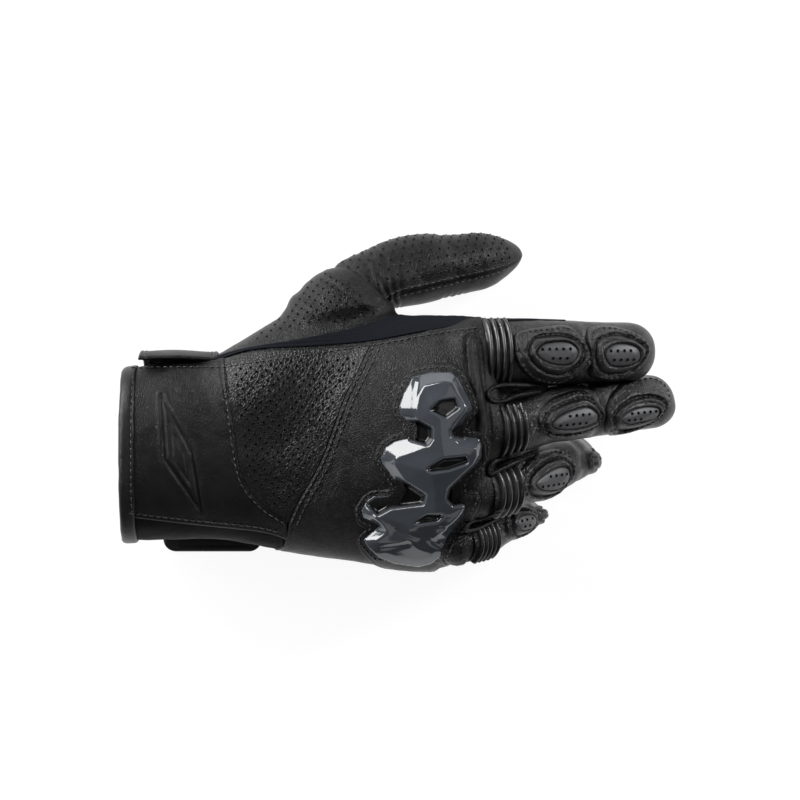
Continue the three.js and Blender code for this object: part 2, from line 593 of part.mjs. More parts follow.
const strapShare = (angle) => smooth((angle - STRAP.from) / (STRAP.to - STRAP.from));
const strapEdge = (end) => (angle) => mix(STRAP.ulnarX[end], STRAP.radialX[end], strapShare(angle));
const strapDepths = [-STRAP.gap - STRAP.thickness, -STRAP.gap];
const strap = handPanel(STRAP.from, STRAP.to, strapEdge(0), strapEdge(1), 2, 12, strapDepths);
const hookTape = handPanel(...HOOK_TAPE.angles, ...HOOK_TAPE.x, 1, 4, HOOK_TAPE.depths);
add(glove, "wrist_strap", strap, "leather");
add(glove, "strap_hook_tape", hookTape, "hookLoop");
const tab = STRAP.tab;
const tabShape = new THREE.Shape();
const [halfLength, halfWidth] = [tab.length / 2 - tab.corner, tab.width / 2 - tab.corner];
tabShape.absarc(halfLength, halfWidth, tab.corner, 0, deg(90));
tabShape.absarc(-halfLength, halfWidth, tab.corner, deg(90), deg(180));
tabShape.absarc(-halfLength, -halfWidth, tab.corner, deg(180), deg(270));
tabShape.absarc(halfLength, -halfWidth, tab.corner, deg(270), deg(360));
const tabExtrusion = { depth: tab.thickness, bevelEnabled: false, curveSegments: 4 };
const tabPlate = new THREE.ExtrudeGeometry(tabShape, tabExtrusion);
add(glove, "strap_pull_tab", tabPlate, "rubber").position.set(tab.x, tab.y, tab.z);

// ---------- Frame: the origin is under the middle of the glove, on the surface it lies on ----------

glove.updateMatrixWorld(true);
const box = new THREE.Box3().setFromObject(glove, true);
const middle = box.getCenter(new THREE.Vector3());
glove.position.set(-middle.x, -middle.y, -box.min.z);

export default glove;
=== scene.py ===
"""A right-hand short-cuff leather riding glove, dressed over the CAD frame.

Shapes are worked out in millimetres in the glove's own drawing frame, and written in metres. Its +X runs to
the fingertips, +Y to the thumb side and +Z up. s is the place along a finger, and theta the angle round it in
degrees, from the thumb's side over the back. p holds points, n normals, q places in plan, f faces, h heights.
"""

import math

import bpy
import numpy as np
import openvdb
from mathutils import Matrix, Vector
from mathutils.bvhtree import BVHTree


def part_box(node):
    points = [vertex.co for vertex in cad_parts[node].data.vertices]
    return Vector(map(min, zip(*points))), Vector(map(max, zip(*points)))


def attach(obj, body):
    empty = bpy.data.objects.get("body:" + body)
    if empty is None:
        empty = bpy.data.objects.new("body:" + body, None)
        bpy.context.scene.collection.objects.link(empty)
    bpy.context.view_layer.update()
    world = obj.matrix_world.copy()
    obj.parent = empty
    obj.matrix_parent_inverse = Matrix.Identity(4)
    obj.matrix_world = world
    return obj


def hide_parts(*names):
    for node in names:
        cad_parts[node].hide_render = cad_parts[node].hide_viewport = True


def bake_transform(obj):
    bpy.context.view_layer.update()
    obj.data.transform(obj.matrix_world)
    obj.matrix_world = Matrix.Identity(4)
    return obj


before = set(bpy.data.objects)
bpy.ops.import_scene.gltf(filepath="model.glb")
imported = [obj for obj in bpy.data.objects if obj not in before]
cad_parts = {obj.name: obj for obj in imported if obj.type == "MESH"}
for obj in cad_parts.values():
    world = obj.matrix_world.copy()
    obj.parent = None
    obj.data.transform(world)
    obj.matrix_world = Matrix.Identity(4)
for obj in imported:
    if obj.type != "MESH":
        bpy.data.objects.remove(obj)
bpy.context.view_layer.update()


def corners(node):
    low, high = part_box(node)
    return np.array(low) * 1000, np.array(high) * 1000


# The drawing frame's origin in the object's frame comes from the pull tab. The middle of its CAD solid's
# underside is at TAB_AT in the drawing frame.
TAB_AT = np.array([-83.0, -28.5, -0.6])
_low, _high = corners("strap_pull_tab")
SHIFT = np.array([(_low[0] + _high[0]) / 2, (_low[1] + _high[1]) / 2, _low[2]]) - TAB_AT
MM = 0.001


def metres(p):
    """Points of the drawing frame as metres in the object's frame."""
    return (np.asarray(p, float) + SHIFT) * MM


# ---------------------------------------------------------------- numbers and noise

rng = np.random.default_rng(11)
NOISE_CELLS = 32
TABLE = rng.uniform(-1, 1, (NOISE_CELLS, NOISE_CELLS, NOISE_CELLS))


def noise(p, size, seed=0):
    """Smooth noise from -1 to 1 with features of a size in mm."""
    q = np.asarray(p) / size + seed * 7.31
    i = np.floor(q).astype(int)
    f = q - i
    f = f * f * (3 - 2 * f)
    out = 0
    for corner in np.ndindex(2, 2, 2):
        near = [f[..., k] if corner[k] else 1 - f[..., k] for k in range(3)]
        at = (i + corner) % NOISE_CELLS
        out = out + near[0] * near[1] * near[2] * TABLE[at[..., 0], at[..., 1], at[..., 2]]
    return out


def smooth(t):
    t = np.clip(t, 0, 1)
    return t * t * (3 - 2 * t)


def roll(t):
    """Height of a rounded edge, 0 at the edge and 1 from t = 1 on."""
    t = np.clip(t, 0, 1)
    return np.sqrt(np.maximum(0, 1 - (1 - t) ** 2))


def power(c, e):
    """A power that keeps the sign."""
    return np.sign(c) * np.abs(c) ** e


def smin(a, b, k):
    """The smaller of two distances, with the corner between them filleted over k."""
    h = np.clip(0.5 + 0.5 * (b - a) / k, 0, 1)
    return b * (1 - h) + a * h - k * h * (1 - h)


def unit(v):
    v = np.asarray(v, float)
    return v / np.linalg.norm(v, axis=-1, keepdims=True)


def bump_at(x, centre, width):
    """A bell of height 1."""
    return np.exp(-(((x - centre) / width) ** 2))


def from_end(n):
    """For each of n places in a row, how many steps it is from the nearer end."""
    return np.minimum(np.arange(n), np.arange(n)[::-1])


def path_length(p):
    """The length of a line of points up to each of them."""
    return np.concatenate([[0], np.cumsum(np.linalg.norm(np.diff(p, axis=0), axis=1))])


# ---------------------------------------------------------------- the hand's form

# stations along the hand; arch is how much the back falls away from the knuckles' ridge at RIDGE_Y
HAND = np.array([
    # x, centre y, centre z, half width, half height, arch
    [-122, -2.6, 31.5, 37.2, 24.5, 0],
    [-100, -0.5, 31.5, 39.3, 24.5, 0],
    [-78, 0.7, 31.5, 40.4, 24.0, 0],
    [-55, 1.5, 34, 45.2, 22, 0.0004],
    [-22, 2.6, 43, 51, 21.5, 0.0014],
    [0, 3.5, 50, 55, 21, 0.0027],
    [17.6, 3.5, 56, 55.4, 20, 0.0038],
    [31, 5, 60, 53.5, 17.5, 0.0048],
    [42, 7.5, 62, 50.5, 14.5, 0.0052],
])
ROUND = 0.8  # 1 is an ellipse, and less is squarer
RIDGE_Y = 20


def _spline(xs, ys):
    """Dense samples of a smooth curve through stations."""
    slope = np.array([(ys[min(j + 1, len(ys) - 1)] - ys[max(j - 1, 0)])
        / (xs[min(j + 1, len(xs) - 1)] - xs[max(j - 1, 0)]) for j in range(len(xs))])
    x = np.linspace(xs[0], xs[-1], 700)
    i = np.clip(np.searchsorted(xs, x, side="right") - 1, 0, len(xs) - 2)
    h = xs[i + 1] - xs[i]
    t = (x - xs[i]) / h
    y = ((2 * t**3 - 3 * t**2 + 1) * ys[i] + (t**3 - 2 * t**2 + t) * h * slope[i]
        + (3 * t**2 - 2 * t**3) * ys[i + 1] + (t**3 - t**2) * h * slope[i + 1])
    return x, y


_STATIONS = [_spline(HAND[:, 0], HAND[:, k]) for k in range(1, 6)]


def hand_at(x):
    """Centre y, centre z, half width, half height and arch of the hand at x."""
    return [np.interp(x, *s) for s in _STATIONS]


def hand_point(x, angle, height=0.0):
    """The point over the hand's form at x and at an angle round it."""
    yc, zc, w, h, arch = hand_at(x)
    a = np.radians(angle)
    y = yc + (w + height) * power(np.cos(a), ROUND)
    z = zc + (h + height) * power(np.sin(a), ROUND) - arch * (y - RIDGE_Y) ** 2
    return np.stack(np.broadcast_arrays(x, y, z), -1).astype(float)


def hand_angle(x, y):
    """The angle round the back of the hand at a place seen from above."""
    yc, _, w, _, _ = hand_at(np.asarray(x, float))
    c = np.clip((np.asarray(y, float) - yc) / w, -0.999, 0.999)
    return np.degrees(np.arccos(power(c, 1 / ROUND)))


def guard_base(x, y):
    """The height of the hand's back under the guard, a little flatter at the sides than the hand is."""
    yc, zc, w, h, arch = hand_at(x)
    c = np.clip(np.abs((y - yc) / w) * 0.94, 0, 0.999)
    return zc + h * (1 - c ** (2 / ROUND)) ** (ROUND / 2) - arch * (y - RIDGE_Y) ** 2


# w and wt are half widths at the root and at the tip, on the thumb's side and on the other one. sway is how
# far to the thumb's side of its axis a stall starts at its root.
FINGERS = {
    "index": dict(root=(43.3, 42.2, 60.5), heading=1.3, lengths=(38.9, 33.8), pitches=(12, 20),
        w=(15.0, 15.0), wt=(12.6, 13.2), h=11.2, sway=0.0),
    "middle": dict(root=(47.2, 13.2, 61.5), heading=5.3, lengths=(40, 43.5), pitches=(22, 28),
        w=(12.6, 12.2), wt=(14.0, 10.0), h=11.2, sway=-3.4),
    "ring": dict(root=(42, -12, 57), heading=7.8, lengths=(43.4, 30.8), pitches=(38, 80), w=(11.6, 11.2),
        wt=(12.6, 6.5), h=10.6, sway=-5.6, belly=3.6),
    "little": dict(root=(32.7, -36.4, 46.5), heading=10.5, lengths=(30, 26.3), pitches=(44, 82),
        w=(9.8, 9.0), wt=(8.8, 4.5), h=9.8, sway=-3.4),
}


def axes(heading, pitch):
    a, p = math.radians(heading), math.radians(pitch)
    d = np.array([math.cos(p) * math.cos(a), math.cos(p) * math.sin(a), -math.sin(p)])
    side = np.array([-math.sin(a), math.cos(a), 0])
    return d, side, np.cross(d, side)


class Tube:
    """A finger stall: an oval tube along a bent line, s = 0 at its root."""

    n = 2.2  # how square its section is: 2 is an ellipse

    def __init__(self, root, dirs, up, lengths, w, wt, h, tip_round, soft=6.0, lead=None, taper=(2.2, 0.5),
                 grow=0.0, sway=0.0, belly=0.0):
        self.root, self.lengths, self.h = np.array(root, float), lengths, h
        self.wide = (w, wt)
        self.w = sum(w) / 2
        self.tip_round, self.taper, self.grow, self.sway, self.belly = tip_round, taper, grow, sway, belly
        self.length = sum(lengths)
        s = np.arange(-30.0, self.length + 0.01, 0.25)
        mid = self.root + dirs[0] * lengths[0]
        d0 = dirs[0] if lead is None else lead
        t = s[:, None]
        p = np.where(t < lengths[0], self.root + dirs[0] * t, mid + dirs[1] * (t - lengths[0]))
        p = np.where(t < 0, self.root + d0 * t, p)
        for corner, a, b in ((0, d0, dirs[0]), (lengths[0], dirs[0], dirs[1])):
            c = self.root + (dirs[0] * lengths[0] if corner else 0)
            k = np.abs(s - corner) < soft
            t = ((s[k] - corner + soft) / (2 * soft))[:, None]
            p[k] = (1 - t) ** 2 * (c - a * soft) + 2 * t * (1 - t) * c + t**2 * (c + b * soft)
        self.s, self.c = s, p
        self.t = unit(np.gradient(p, s, axis=0))
        u = np.broadcast_to(up, p.shape)
        self.u = unit(u - self.t * (u * self.t).sum(-1, keepdims=True))
        self.side = np.cross(self.u, self.t)
        self.dirs, self.mid = dirs, mid

    def _at(self, table, s):
        return np.stack([np.interp(s, self.s, table[:, k]) for k in range(3)], -1)

    def shift(self, s):
        return self.sway * (1 - smooth((np.asarray(s, float) + 1) / 24))

    def radii(self, s, across=0.0):
        """Half width on the thumb's side (across > 0) or the other one, and half height."""
        f = smooth(np.clip(s / self.length, 0, 1) * 1.1)
        one, two = ((self.wide[0][k] + (self.wide[1][k] - self.wide[0][k]) * f) for k in (0, 1))
        w = np.where(np.asarray(across) >= 0, one, two + self.belly * bump_at(s, 25, 13))
        over = np.clip((s - (self.length - self.tip_round)) / self.tip_round, 0, 1)
        k = np.maximum(1 - over ** self.taper[0], 0) ** self.taper[1]
        more = self.grow * smooth(np.clip(-s / 12, 0, 1))
        return (w + more) * k, (self.h + more) * k

    def point(self, s, theta, height=0.0):
        s, theta = np.broadcast_arrays(np.asarray(s, float), np.asarray(theta, float))
        a = np.radians(theta)
        w, h = self.radii(s, np.cos(a))
        e = 2 / self.n
        y = (w + height) * power(np.cos(a), e)
        z = (h + height) * power(np.sin(a), e)
        y = y + self.shift(s)
        return (self._at(self.c, s) + self._at(self.side, s) * y[..., None]
            + self._at(self.u, s) * z[..., None])

    def top(self, s, t, height=0.0):
        """The point over chart place (s along, t across) on the tube's back."""
        off = self.shift(s)
        t = t - off
        w, h = self.radii(np.asarray(s, float), t)
        w, h = w + height, h + height
        q = np.clip(np.abs(t) / np.maximum(w, 0.1), 0, 0.97)
        z = h * (1 - q**self.n) ** (1 / self.n)
        y = np.sign(t) * q * w + off
        return (self._at(self.c, s) + self._at(self.side, s) * y[..., None]
            + self._at(self.u, s) * z[..., None])


TUBES = {}
for _name, _f in FINGERS.items():
    _d1, _, _up = axes(_f["heading"], _f["pitches"][0])
    _d2 = axes(_f["heading"], _f["pitches"][1])[0]
    _shape = [_f[k] for k in ("lengths", "w", "wt", "h")]
    TUBES[_name] = Tube(_f["root"], (_d1, _d2), _up, *_shape, 12.5, sway=_f["sway"],
        belly=_f.get("belly", 0.0))

T_SADDLE, T_ROOT = np.array([-46.0, 38, 31]), np.array([-11.0, 74.4, 29.8])
T_DIR = unit(np.array([0.93, 0.175, -0.325]))
T_UP = np.array([0, 0.6, 0.8])
T_UP = unit(T_UP - T_DIR * (T_UP @ T_DIR))
T_LEAD = unit(T_ROOT - T_SADDLE)
T_MIDDLE = T_ROOT + np.array([0, 1.4, 0])
TUBES["thumb"] = Tube(T_MIDDLE, (T_DIR, T_DIR), T_UP, (35, 37.2), (16.2, 15.4), (12.3, 12.2), 12.6, 23,
    lead=T_LEAD, soft=11, taper=(1.6, 0.6), grow=1.0)

ROOTS = [(f["root"][1] + f["sway"], f["root"][0]) for f in FINGERS.values()]
FRONT_Y = np.array([-60, ROOTS[3][0], ROOTS[2][0], ROOTS[1][0], ROOTS[0][0], 62.0])
FRONT_X = np.array([ROOTS[3][1] - 5, ROOTS[3][1], ROOTS[2][1], ROOTS[1][1], ROOTS[0][1], ROOTS[0][1] - 2.5])


def front(y):
    i = np.clip(np.searchsorted(FRONT_Y, y) - 1, 0, len(FRONT_Y) - 2)
    t = smooth((y - FRONT_Y[i]) / (FRONT_Y[i + 1] - FRONT_Y[i]))
    return FRONT_X[i] + (FRONT_X[i + 1] - FRONT_X[i]) * t


def body_distance(p):
    """Roughly how far a point is outside the hand, the finger roots and the base of the thumb."""
    x, y, z = p[..., 0], p[..., 1], p[..., 2]
    yc, zc, w, h, arch = hand_at(x)
    a, b = (y - yc) / w, (z + arch * (y - RIDGE_Y) ** 2 - zc) / h
    n = 2 / ROUND
    f = (np.abs(a) ** n + np.abs(b) ** n + 1e-9) ** (1 / n)
    gy, gz = (np.abs(a) / f) ** (n - 1) / w, (np.abs(b) / f) ** (n - 1) / h
    d = (f - 1) / np.sqrt(gy**2 + gz**2 + 1e-9)
    d = -smin(-d, -(x - front(y) + 1.0) * 0.92, 11)
    stubs = None
    for tube in [TUBES[k] for k in FINGERS]:
        k = np.argmin(np.abs(tube.s))
        q = p - tube.root - tube.side[k - 40] * tube.sway
        along = q @ tube.dirs[0]
        across, high = q @ tube.side[k - 40], q @ tube.u[k - 40]
        over = along - np.clip(along, -9, -7)
        r = np.sqrt((across / (tube.w - 0.4)) ** 2 + (high / (tube.h - 0.6)) ** 2 + (over / tube.h) ** 2)
        e = (r - 1) * tube.h
        stubs = e if stubs is None else np.minimum(stubs, e)
    d = smin(d, stubs, 5)
    q = p - T_SADDLE
    reach = np.linalg.norm(T_ROOT - T_SADDLE)
    t = np.clip((q @ T_LEAD) / reach, -0.25, 0.8)
    r = 20.5 + (14.2 - 20.5) * t
    e = np.linalg.norm(q - T_LEAD * (t * reach)[..., None], axis=-1) - r
    return smin(d, e, 17)


def gradient(p, step=0.15):
    g = np.zeros(p.shape)
    for k in ([1, -1, -1], [-1, -1, 1], [-1, 1, -1], [1, 1, 1]):
        k = np.array(k, float)
        g += k * body_distance(p + k * step)[..., None]
    return g / (4 * step)


def settle(p, height=0.0, rounds=3):
    """Move points onto the surface at that height over the body. Returns the points and the way out."""
    for _ in range(rounds):
        g = gradient(p)
        p = p - g * ((body_distance(p) - height) / np.maximum((g**2).sum(-1), 0.2))[..., None]
    return p, unit(gradient(p))


# ---------------------------------------------------------------- materials

def nodes_of(name):
    m = bpy.data.materials.new(name)
    m.use_nodes = True
    tree = m.node_tree
    return m, tree, tree.nodes["Principled BSDF"]


def surface(name, colour, rough, grain, depth, spread=0.35, fold=0.0, spec=0.5, coat=0.0, sheen=0.0,
        rough_spread=0.12, wear=0.0, wear_colour=None):
    """Leather, rubber or cloth: cells of grain mm in the surface, and colour and gloss that vary over it."""
    m, tree, bsdf = nodes_of(name)
    link, new = tree.links.new, tree.nodes.new
    place = new("ShaderNodeTexCoord").outputs["Object"]

    def tex(kind, scale_mm, **settings):
        n = new(kind)
        n.inputs["Scale"].default_value = 1000.0 / scale_mm
        for k, v in settings.items():
            if k in n.inputs:
                n.inputs[k].default_value = v
            else:
                setattr(n, k, v)
        link(place, n.inputs["Vector"])
        return n

    cells = tex("ShaderNodeTexVoronoi", grain, feature="DISTANCE_TO_EDGE")
    broad = tex("ShaderNodeTexNoise", 14.0, Detail=4.0, Roughness=0.6)
    fine = tex("ShaderNodeTexNoise", grain * 0.9, Detail=3.0, Roughness=0.55)
    ramp = new("ShaderNodeMapRange")
    ramp.inputs["From Min"].default_value = 0.0
    ramp.inputs["From Max"].default_value = 0.22
    link(cells.outputs["Distance"], ramp.inputs["Value"])
    mixed = new("ShaderNodeMath")
    mixed.operation = "MULTIPLY_ADD"
    mixed.inputs[1].default_value = 0.6
    link(fine.outputs["Fac"], mixed.inputs[0])
    link(ramp.outputs["Result"], mixed.inputs[2])
    bump = new("ShaderNodeBump")
    bump.inputs["Strength"].default_value = depth
    bump.inputs["Distance"].default_value = grain * 0.00014
    link(mixed.outputs[0], bump.inputs["Height"])
    last = bump
    if fold:
        folds = tex("ShaderNodeTexNoise", 7.0, Detail=6.0, Roughness=0.62, Distortion=0.6)
        big = new("ShaderNodeBump")
        big.inputs["Strength"].default_value = fold
        big.inputs["Distance"].default_value = 0.0012
        link(folds.outputs["Fac"], big.inputs["Height"])
        link(bump.outputs["Normal"], big.inputs["Normal"])
        last = big
    link(last.outputs["Normal"], bsdf.inputs["Normal"])
    dark = tuple(c * (1 - spread) for c in colour)
    light = tuple(min(1, c * (1 + spread)) for c in colour)
    mix = new("ShaderNodeMix")
    mix.data_type = "RGBA"
    mix.inputs["A"].default_value = (*dark, 1)
    mix.inputs["B"].default_value = (*light, 1)
    link(broad.outputs["Fac"], mix.inputs["Factor"])
    out = mix.outputs["Result"]
    if wear:
        edge = new("ShaderNodeMix")
        edge.data_type = "RGBA"
        edge.inputs["B"].default_value = (*wear_colour, 1)
        grade = new("ShaderNodeMapRange")
        grade.inputs["From Min"].default_value = 0.55
        grade.inputs["From Max"].default_value = 0.8
        grade.inputs["To Max"].default_value = wear
        link(fine.outputs["Fac"], grade.inputs["Value"])
        link(grade.outputs["Result"], edge.inputs["Factor"])
        link(out, edge.inputs["A"])
        out = edge.outputs["Result"]
    link(out, bsdf.inputs["Base Color"])
    gloss = new("ShaderNodeMapRange")
    gloss.inputs["To Min"].default_value = max(0.02, rough - rough_spread)
    gloss.inputs["To Max"].default_value = min(1, rough + rough_spread)
    link(broad.outputs["Fac"], gloss.inputs["Value"])
    link(gloss.outputs["Result"], bsdf.inputs["Roughness"])
    bsdf.inputs["Specular IOR Level"].default_value = spec
    bsdf.inputs["Coat Weight"].default_value = coat
    bsdf.inputs["Coat Roughness"].default_value = 0.12
    bsdf.inputs["Sheen Weight"].default_value = sheen
    return m


LEATHER = surface("glove_leather", (0.0045, 0.0044, 0.0048), 0.38, grain=0.9, depth=0.8, fold=0.22,
    spec=0.34, wear=0.2, wear_colour=(0.014, 0.014, 0.015))
LEATHER_FINE = surface("glove_leather_fine", (0.0042, 0.0042, 0.0046), 0.36, grain=0.8, depth=0.7, fold=0.2,
    spec=0.34, wear=0.15, wear_colour=(0.014, 0.014, 0.015))
FINGER = surface("finger_leather", (0.0046, 0.0046, 0.005), 0.33, grain=0.9, depth=0.9, fold=0.2, spec=0.75,
    wear=0.2, wear_colour=(0.016, 0.016, 0.017))
RIBBED = surface("ribbed_leather", (0.0042, 0.0042, 0.0046), 0.3, grain=0.8, depth=0.3, fold=0.1, spec=0.9,
    coat=0.25)
# a darker copy of the leather for the cuff's side piece: the darker colour is painted shade on that side of
# the cuff
SHADED_SIDE_LEATHER = surface("cuff_side_shaded_leather", (0.0034, 0.0034, 0.0037), 0.62, grain=0.9, depth=0.6, fold=0.2,
    spec=0.12)
PEBBLED = surface("pebbled_leather", (0.0056, 0.0056, 0.0062), 0.36, grain=1.5, depth=0.55, fold=0.12,
    spec=0.42, wear=0.2, wear_colour=(0.02, 0.02, 0.022))
STRETCH = surface("stretch_knit", (0.0042, 0.0055, 0.0095), 0.8, grain=0.7, depth=0.8, spec=0.15)
BINDING = surface("binding_leather", (0.0046, 0.0046, 0.0051), 0.38, grain=0.6, depth=0.4, fold=0.3,
    spec=0.5)
INSERT = surface("insert_rubber", (0.082, 0.083, 0.089), 0.42, grain=0.5, depth=0.2, spread=0.2, spec=0.5)
GUARD = surface("guard_shell", (0.06, 0.068, 0.08), 0.08, grain=3.0, depth=0.02, spread=0.18, spec=0.6,
    coat=0.6, rough_spread=0.03)


def paint_shade_and_dull_where_deep(material):
    """Paint shade into a material where the mesh is marked as deep: its colour goes near black there, and it
    turns duller.
    """
    tree = material.node_tree
    bsdf = tree.nodes["Principled BSDF"]
    mark = tree.nodes.new("ShaderNodeAttribute")
    mark.attribute_name = "deep"
    # the near-black base colour is painted shade in the guard's pockets and recesses
    for socket, kind, a, b, out, value in (("Base Color", "RGBA", 6, 7, 2, (0.0015, 0.0016, 0.002, 1)),
            ("Roughness", "FLOAT", 2, 3, 0, 0.3)):
        mix = tree.nodes.new("ShaderNodeMix")
        mix.data_type = kind
        tree.links.new(mark.outputs["Fac"], mix.inputs[0])
        tree.links.new(bsdf.inputs[socket].links[0].from_socket, mix.inputs[a])
        mix.inputs[b].default_value = value
        tree.links.new(mix.outputs[out], bsdf.inputs[socket])


paint_shade_and_dull_where_deep(GUARD)
# the thread's grey is lighter than the leather, partly in its own colour and partly as painted highlight for
# the glints along the seams
THREAD = surface("thread", (0.03, 0.03, 0.033), 0.3, grain=0.3, depth=0.3, spec=0.8)
# near-black painted shade for the floors of the punched holes, which are not cut through
HOLE_SHADE = surface("punched_hole_shade", (0.001, 0.001, 0.0011), 0.9, grain=0.5, depth=0.2, spec=0.05)
LINING = surface("lining_knit", (0.009, 0.009, 0.0105), 0.92, grain=0.6, depth=0.9, spec=0.2, sheen=0.05)
RUBBER = surface("tab_rubber", (0.009, 0.009, 0.0098), 0.45, grain=0.8, depth=0.3, spec=0.4)
TAPE = surface("hook_loop_tape", (0.006, 0.006, 0.007), 0.95, grain=0.5, depth=1.0, spec=0.2, sheen=0.05)


# ---------------------------------------------------------------- meshes

PIECES = {}


def piece(name, points, faces, material, body):
    """A named mesh in the drawing frame. It rides on body, unless that is None."""
    mesh = bpy.data.meshes.new(name)
    mesh.from_pydata(metres(np.asarray(points).reshape(-1, 3)).tolist(), [],
        [tuple(int(v) for v in f) for f in faces])
    mesh.validate()
    mesh.materials.append(material)
    mesh.update()
    mesh.polygons.foreach_set("use_smooth", [True] * len(mesh.polygons))
    obj = bpy.data.objects.new(name, mesh)
    bpy.context.scene.collection.objects.link(obj)
    PIECES[name] = obj
    if body:
        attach(obj, body)
    return obj


def sheet_faces(n, m, wrap=False):
    """The faces of a grid of n rows of m points, row after row. wrap joins each row's ends."""
    i, j = np.meshgrid(np.arange(n - 1), np.arange(m if wrap else m - 1), indexing="ij")
    k = (j + 1) % m
    q = np.stack([i * m + j, i * m + k, (i + 1) * m + k, (i + 1) * m + j], -1).reshape(-1, 4)
    return q


def fan(n, m, turned):
    """Faces from the last of n rings of m points to one point that follows them."""
    ring = (n - 1) * m + np.arange(m)
    pairs = zip(np.roll(ring, -1), ring) if turned else zip(ring, np.roll(ring, -1))
    return [(a, b, n * m) for a, b in pairs]


def facing(points, faces, way):
    """The faces, all turned over if they look against way on the whole: one vector, or one for each point."""
    a, b, c = (np.asarray(points).reshape(-1, 3)[faces[:, k]] for k in range(3))
    way = np.asarray(way, float).reshape(-1, 3)
    way = way[faces[:, 0]] if len(way) > 1 else way
    return faces if (np.cross(b - a, c - a) * way).sum() >= 0 else faces[:, ::-1]


def outward(points, faces, centre):
    """Faces turned so that they look away from a centre line or point."""
    return facing(points, faces, np.asarray(points).reshape(-1, 3) - centre)


def closed_sheet(name, top, low, way, material, body):
    """A piece closed round its rim between two grids of points. way is outward at the top one."""
    n, m = top.shape[:2]
    f = sheet_faces(n, m)
    far_side, far_end = np.arange(1, n) * m + m - 1, np.arange(m - 2, -1, -1) + (n - 1) * m
    a = np.concatenate([np.arange(m), far_side, far_end, np.arange(n - 2, 0, -1) * m])
    b = np.roll(a, -1)
    side = np.stack([b, a, a + n * m, b + n * m], -1)
    turned = facing(top, f, way)
    if turned is not f:
        side = side[:, ::-1]
    points = np.concatenate([top.reshape(-1, 3), low.reshape(-1, 3)])
    faces = np.concatenate([turned, turned[:, ::-1] + n * m, side])
    return piece(name, points, faces, material, body)


def slab(name, grid, normals, thickness, edge, material, body):
    """A closed sheet round a grid of middle points, thick as told, with its rim rounded over edge mm."""
    n, m = grid.shape[:2]
    along = np.linalg.norm(np.diff(grid, axis=0), axis=-1).mean() * from_end(n)
    across = np.linalg.norm(np.diff(grid, axis=1), axis=-1).mean() * from_end(m)
    rim = np.minimum(along[:, None], across[None, :])
    half = thickness / 2 * (0.12 + 0.88 * roll(rim / edge))
    lift = normals * half[..., None]
    return closed_sheet(name, grid + lift, grid - lift, normals, material, body)


def tree_of(*names):
    """One search tree over pieces, in metres."""
    verts, polys, base = [], [], 0
    for n in names:
        me = PIECES[n].data
        co = np.empty(len(me.vertices) * 3)
        me.vertices.foreach_get("co", co)
        verts.append(co.reshape(-1, 3))
        polys += [tuple(v + base for v in p.vertices) for p in me.polygons]
        base += len(me.vertices)
    return BVHTree.FromPolygons(np.concatenate(verts).tolist(), polys)


CAST_FROM = 0.3  # metres before a point that its ray starts
ABOVE = 120.0  # a height over the whole glove


def cast(tree, points, way):
    """Where rays through points along way meet a tree: points and outward normals, and a mask of the hits."""
    way = Vector(way).normalized()
    hit, nor, ok = [], [], []
    for p in metres(points):
        h = tree.ray_cast(Vector(p) - way * CAST_FROM, way)
        if h[0] is None:
            hit.append((0, 0, 0))
            nor.append((0, 0, 1))
            ok.append(False)
        else:
            n = h[1] if h[1].dot(way) < 0 else -h[1]
            hit.append(tuple(h[0]))
            nor.append(tuple(n))
            ok.append(True)
    return np.array(hit) / MM - SHIFT, np.array(nor), np.array(ok)


def cast_down(tree, places):
    """Where rays from above meet a tree over places in plan."""
    return cast(tree, np.concatenate([places, np.full((len(places), 1), ABOVE)], 1), (0, 0, -1))


# ---------------------------------------------------------------- lines, stitches and holes

def line(points, step, closed=False):
    """Evenly spaced points along a smooth curve through some points, in any number of dimensions."""
    p = np.asarray(points, float)
    q = (np.concatenate([p[-2:], p, p[:3]]) if closed
        else np.concatenate([[2 * p[0] - p[1]], p, [2 * p[-1] - p[-2]]]))
    first, count = (1, len(p) + 1) if closed else (0, len(p) - 1)
    out = []
    for i in range(first, first + count):
        a, b, c, d = q[i:i + 4]
        t = np.linspace(0, 1, 24, endpoint=False)[:, None]
        out.append(0.5 * (2 * b + (c - a) * t + (2 * a - 5 * b + 4 * c - d) * t**2
            + (3 * b - a - 3 * c + d) * t**3))
    out = np.concatenate(out)
    if closed:
        keep = 24 * len(p)
        out = np.concatenate([out[:keep], out[:1]])
    else:
        out = np.concatenate([out, p[-1:]])
    length = path_length(out)
    count = max(2, int(round(length[-1] / step)) + 1)
    at = np.linspace(0, length[-1], count)
    r = np.stack([np.interp(at, length, out[:, k]) for k in range(out.shape[1])], -1)
    return r[:-1] if closed else r


def polygon_distance(p, polygon):
    """Distance to a closed outline, negative inside."""
    a, b = np.asarray(polygon, float), np.roll(np.asarray(polygon, float), -1, axis=0)
    best = np.full(p.shape[:-1], 1e9)
    inside = np.zeros(p.shape[:-1], bool)
    for u, v in zip(a, b):
        e = v - u
        q = p - u
        t = np.clip((q @ e) / max(e @ e, 1e-9), 0, 1)
        best = np.minimum(best, np.linalg.norm(q - t[..., None] * e, axis=-1))
        cross = (u[1] > p[..., 1]) != (v[1] > p[..., 1])
        with np.errstate(divide="ignore", invalid="ignore"):
            at = u[0] + (p[..., 1] - u[1]) / (v[1] - u[1]) * e[0]
        inside ^= cross & (p[..., 0] < at)
    return np.where(inside, -best, best)


